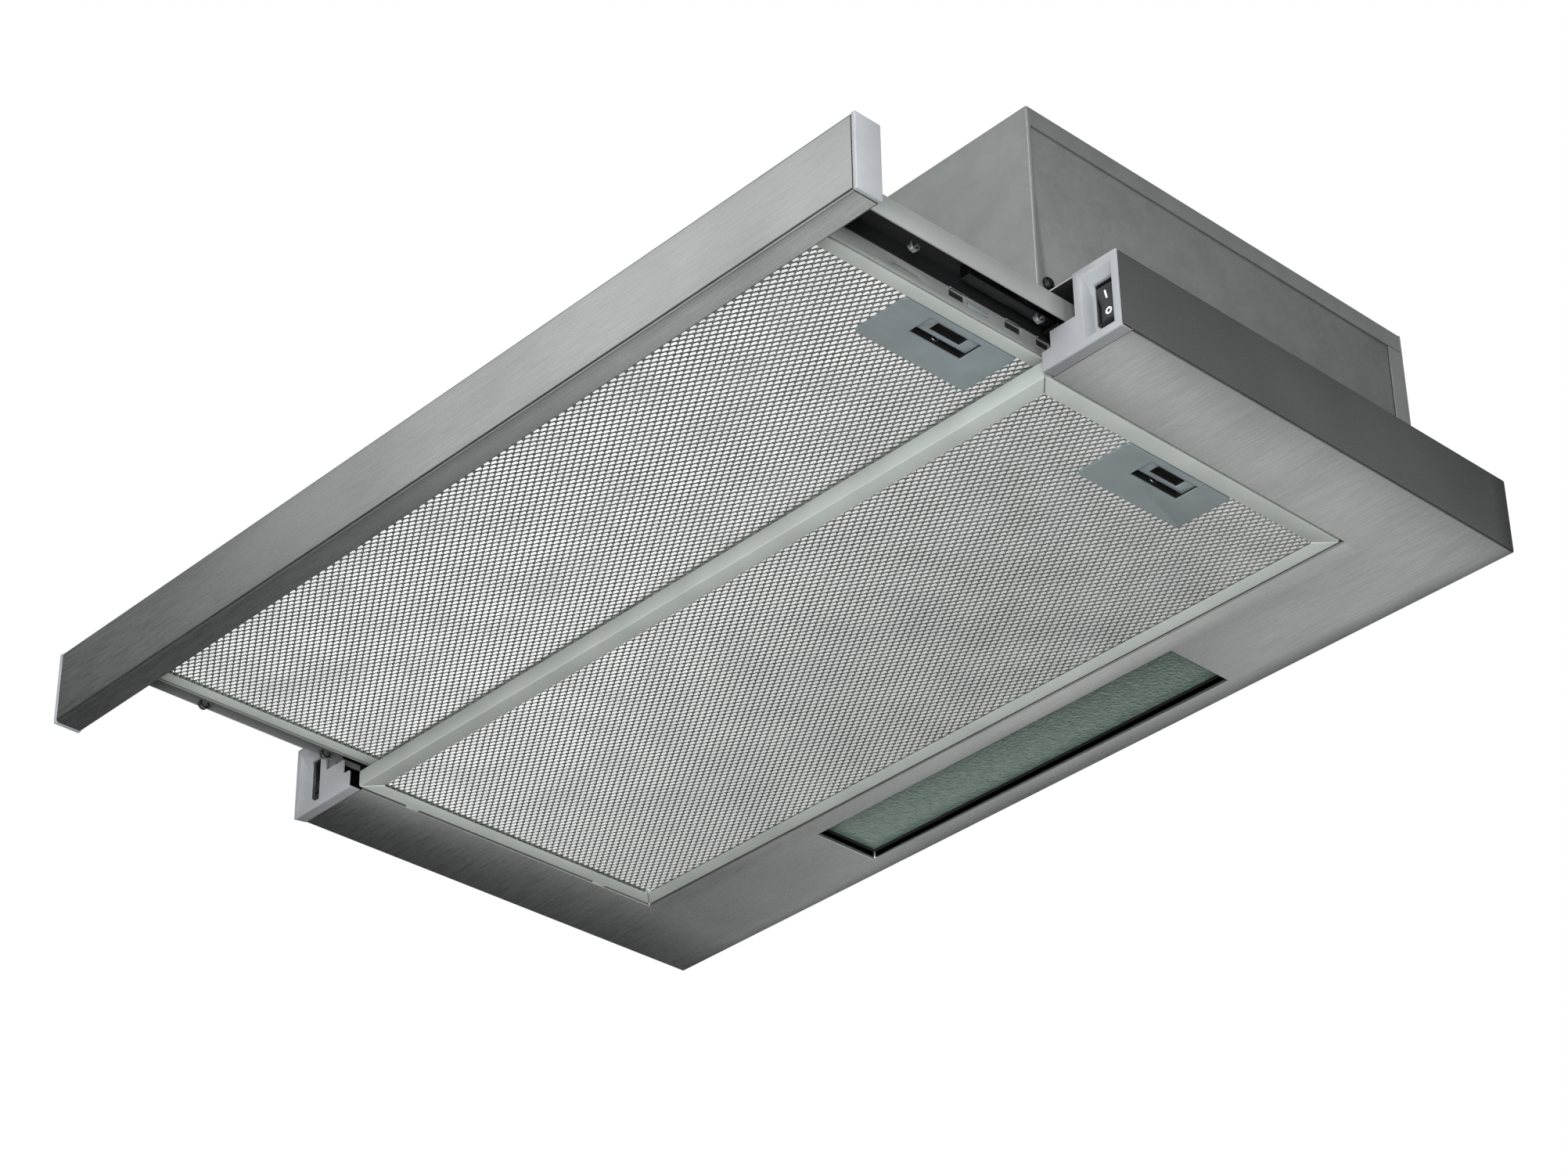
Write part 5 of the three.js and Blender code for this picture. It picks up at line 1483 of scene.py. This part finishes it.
@dataclass
class FanUnit:
    """Fan, motor and electrical pieces inside the box."""

    plain: tuple[tuple[str, Finish, float], ...] = (
        ("scroll_half_right", FAN_PP, 0.4),
        ("scroll_half_left", FAN_PP, 0.4),
        ("fan_motor", ZINC, 0),
        ("motor_bracket", ZINC, 0.2),
        ("inlet_guard", ZINC, 0),
        ("terminal_box", WHITE_PBT, 0.6),
        ("capacitor", WHITE_PBT, 0.4),
    )

    def build(self) -> None:
        """Dress the pieces inside the box."""
        for node, finish, edge in self.plain:
            dress_node(node, "part", finish, edge)
        dress_node("fan_wheel", "part", FAN_PP, 0, body=Body.FAN_ROTOR)
        dress_node("motor_shaft", "part", ZINC, 0.3, body=Body.FAN_ROTOR)


@dataclass
class Outlet:
    """Duct collar with its flaps and pin, the cable gland and the collar's screws."""

    def build(self) -> None:
        """Dress the pieces on top of the box."""
        dress_node("duct_collar", "spigot", FAN_PP)
        dress_node("damper_pin", "rod", ZINC, 0.2)
        for name, body in (("front", Body.DAMPER_FRONT), ("back", Body.DAMPER_BACK)):
            dress_node(f"damper_flap_{name}", "leaf", FAN_PP, 0.2, body=body)
            dress_node(f"collar_screw_{name}", "head", ZINC)
        dress_node("cable_gland", "nut", MATT_BLACK, 0.3)


# Studio


@dataclass(frozen=True)
class Softbox:
    """A rectangular light that faces a point, with the brightness that its surface shows."""

    name: str
    place: Point
    size: tuple[float, float]
    brightness: float
    target: Point = (0.0, -0.2, 0.0)


@dataclass
class Studio:
    """Floor, white surround, soft lights and the camera below the hood's right front corner."""

    floor_z: float = -1.6
    floor_size: float = 3.2
    camera_place: Point = (1.15346, -1.29577, -1.00582)
    azimuth: float = math.radians(46.44)
    elevation: float = math.radians(32.20)
    roll: float = math.radians(-1.0)
    focal_mm: float = 86.0
    surround_brightness: float = 0.06
    lights: tuple[Softbox, ...] = (
        Softbox("main_by_camera", (1.9, -2.3, -1.3), (1.3, 1.3), 18.0),
        Softbox("high_front_left", (-1.1, -2.2, 1.95), (3.0, 2.0), 1.15, (-1.1, -0.3, 0.3)),
        Softbox("under_back", (-1.15, 1.6, -1.58), (1.2, 2.0), 0.85, (-1.15, 1.6, 0.0)),
        Softbox("under_back_left", (-2.5, 2.35, -1.58), (0.8, 0.5), 1.1, (-2.5, 2.35, 0.0)),
        Softbox("under_visor", (-0.4, -1.1, -1.05), (1.0, 0.5), 1.1),
        Softbox("under_filter", (-0.55, -0.5, -1.05), (0.4, 0.5), 0.2),
        Softbox("front_strip", (0.3, -2.2, -0.15), (1.2, 0.4), 5.0),
        Softbox("edge_light", (1.5, -1.7, 1.5), (0.8, 0.8), 8.0),
        Softbox("right_side", (2.6, -0.4, 0.4), (1.5, 1.5), 4.2),
        Softbox("right_back", (2.4, 1.7, 1.7), (2.0, 2.0), 0.15),
    )

    def build(self) -> None:
        """Set up everything round the hood."""
        bpy.context.scene.view_settings.view_transform = "Standard"
        self.floor()
        self.surround()
        for light in self.lights:
            self.add_light(light)
        self.camera()

    def floor(self) -> None:
        """A pale floor well below the hood."""
        bpy.ops.object.select_all(action="DESELECT")
        bpy.ops.mesh.primitive_plane_add(size=self.floor_size, location=(0, 0, self.floor_z))
        plane = settle_place("studio_floor")
        plane.data.materials.append(FLOOR_PAINT.material())

    def surround(self) -> None:
        """White behind the hood, and a dim grey that lights it."""
        world = bpy.data.worlds.new("Studio surround")
        bpy.context.scene.world = world
        world.use_nodes = True
        tree = world.node_tree
        tree.nodes.clear()
        seen = add_node(tree, "ShaderNodeBackground", {"Color": (1, 1, 1, 1), "Strength": 1.0})
        dim = {"Color": (1, 1, 1, 1), "Strength": self.surround_brightness}
        lit = add_node(tree, "ShaderNodeBackground", dim)
        ray = add_node(tree, "ShaderNodeLightPath").outputs["Is Camera Ray"]
        mix = add_node(tree, "ShaderNodeMixShader", {0: ray, 1: lit.outputs[0], 2: seen.outputs[0]})
        add_node(tree, "ShaderNodeOutputWorld", {0: mix.outputs[0]})

    def add_light(self, light: Softbox) -> None:
        """Add one softbox.

        Args:
            light: The softbox.
        """
        data = bpy.data.lights.new(light.name, "AREA")
        data.shape = "RECTANGLE"
        data.size, data.size_y = light.size
        data.energy = math.pi * data.size * data.size_y * light.brightness
        lamp = bpy.data.objects.new(light.name, data)
        lamp.location = light.place
        way = Vector(light.target) - Vector(light.place)
        lamp.rotation_euler = way.to_track_quat("-Z", "Y").to_euler()
        bpy.context.scene.collection.objects.link(lamp)

    def camera(self) -> None:
        """Add the camera and make it the scene's."""
        level = math.cos(self.elevation)
        forward = Vector(
            (-math.sin(self.azimuth) * level, math.cos(self.azimuth) * level, math.sin(self.elevation))
        )
        right = forward.cross(Vector((0, 0, 1))).normalized()
        up = right.cross(forward)
        rolled_right = right * math.cos(self.roll) + up * math.sin(self.roll)
        rolled_up = up * math.cos(self.roll) - right * math.sin(self.roll)
        data = bpy.data.cameras.new("View camera")
        data.lens = self.focal_mm
        data.sensor_width = 36
        data.clip_end = 50
        camera = bpy.data.objects.new("View camera", data)
        turn = Matrix((rolled_right, rolled_up, -forward)).transposed().to_4x4()
        camera.matrix_world = Matrix.Translation(self.camera_place) @ turn
        bpy.context.scene.collection.objects.link(camera)
        bpy.context.scene.camera = camera


def main() -> None:
    """Build the hood's pieces in order, then the studio."""
    logging.basicConfig(level=logging.INFO, format="%(name)s %(message)s")
    bpy.ops.object.select_all(action="DESELECT")
    Studio().build()
    parts = [
        CanopyTray(),
        MotorBox(),
        FrontControls(),
        Lamp(),
        FilterCassette("main_filter", Body.MAIN_FILTER, Body.MAIN_LATCH, hooked=True),
        FilterCassette("visor_filter", Body.VISOR, Body.VISOR_LATCH, lip=mm(7.7)),
        Visor(),
        Slides(),
        FanUnit(),
        Outlet(),
    ]
    for part in parts:
        LOG.info("building %s", type(part).__name__)
        part.build()


if __name__ == "__main__":
    main()
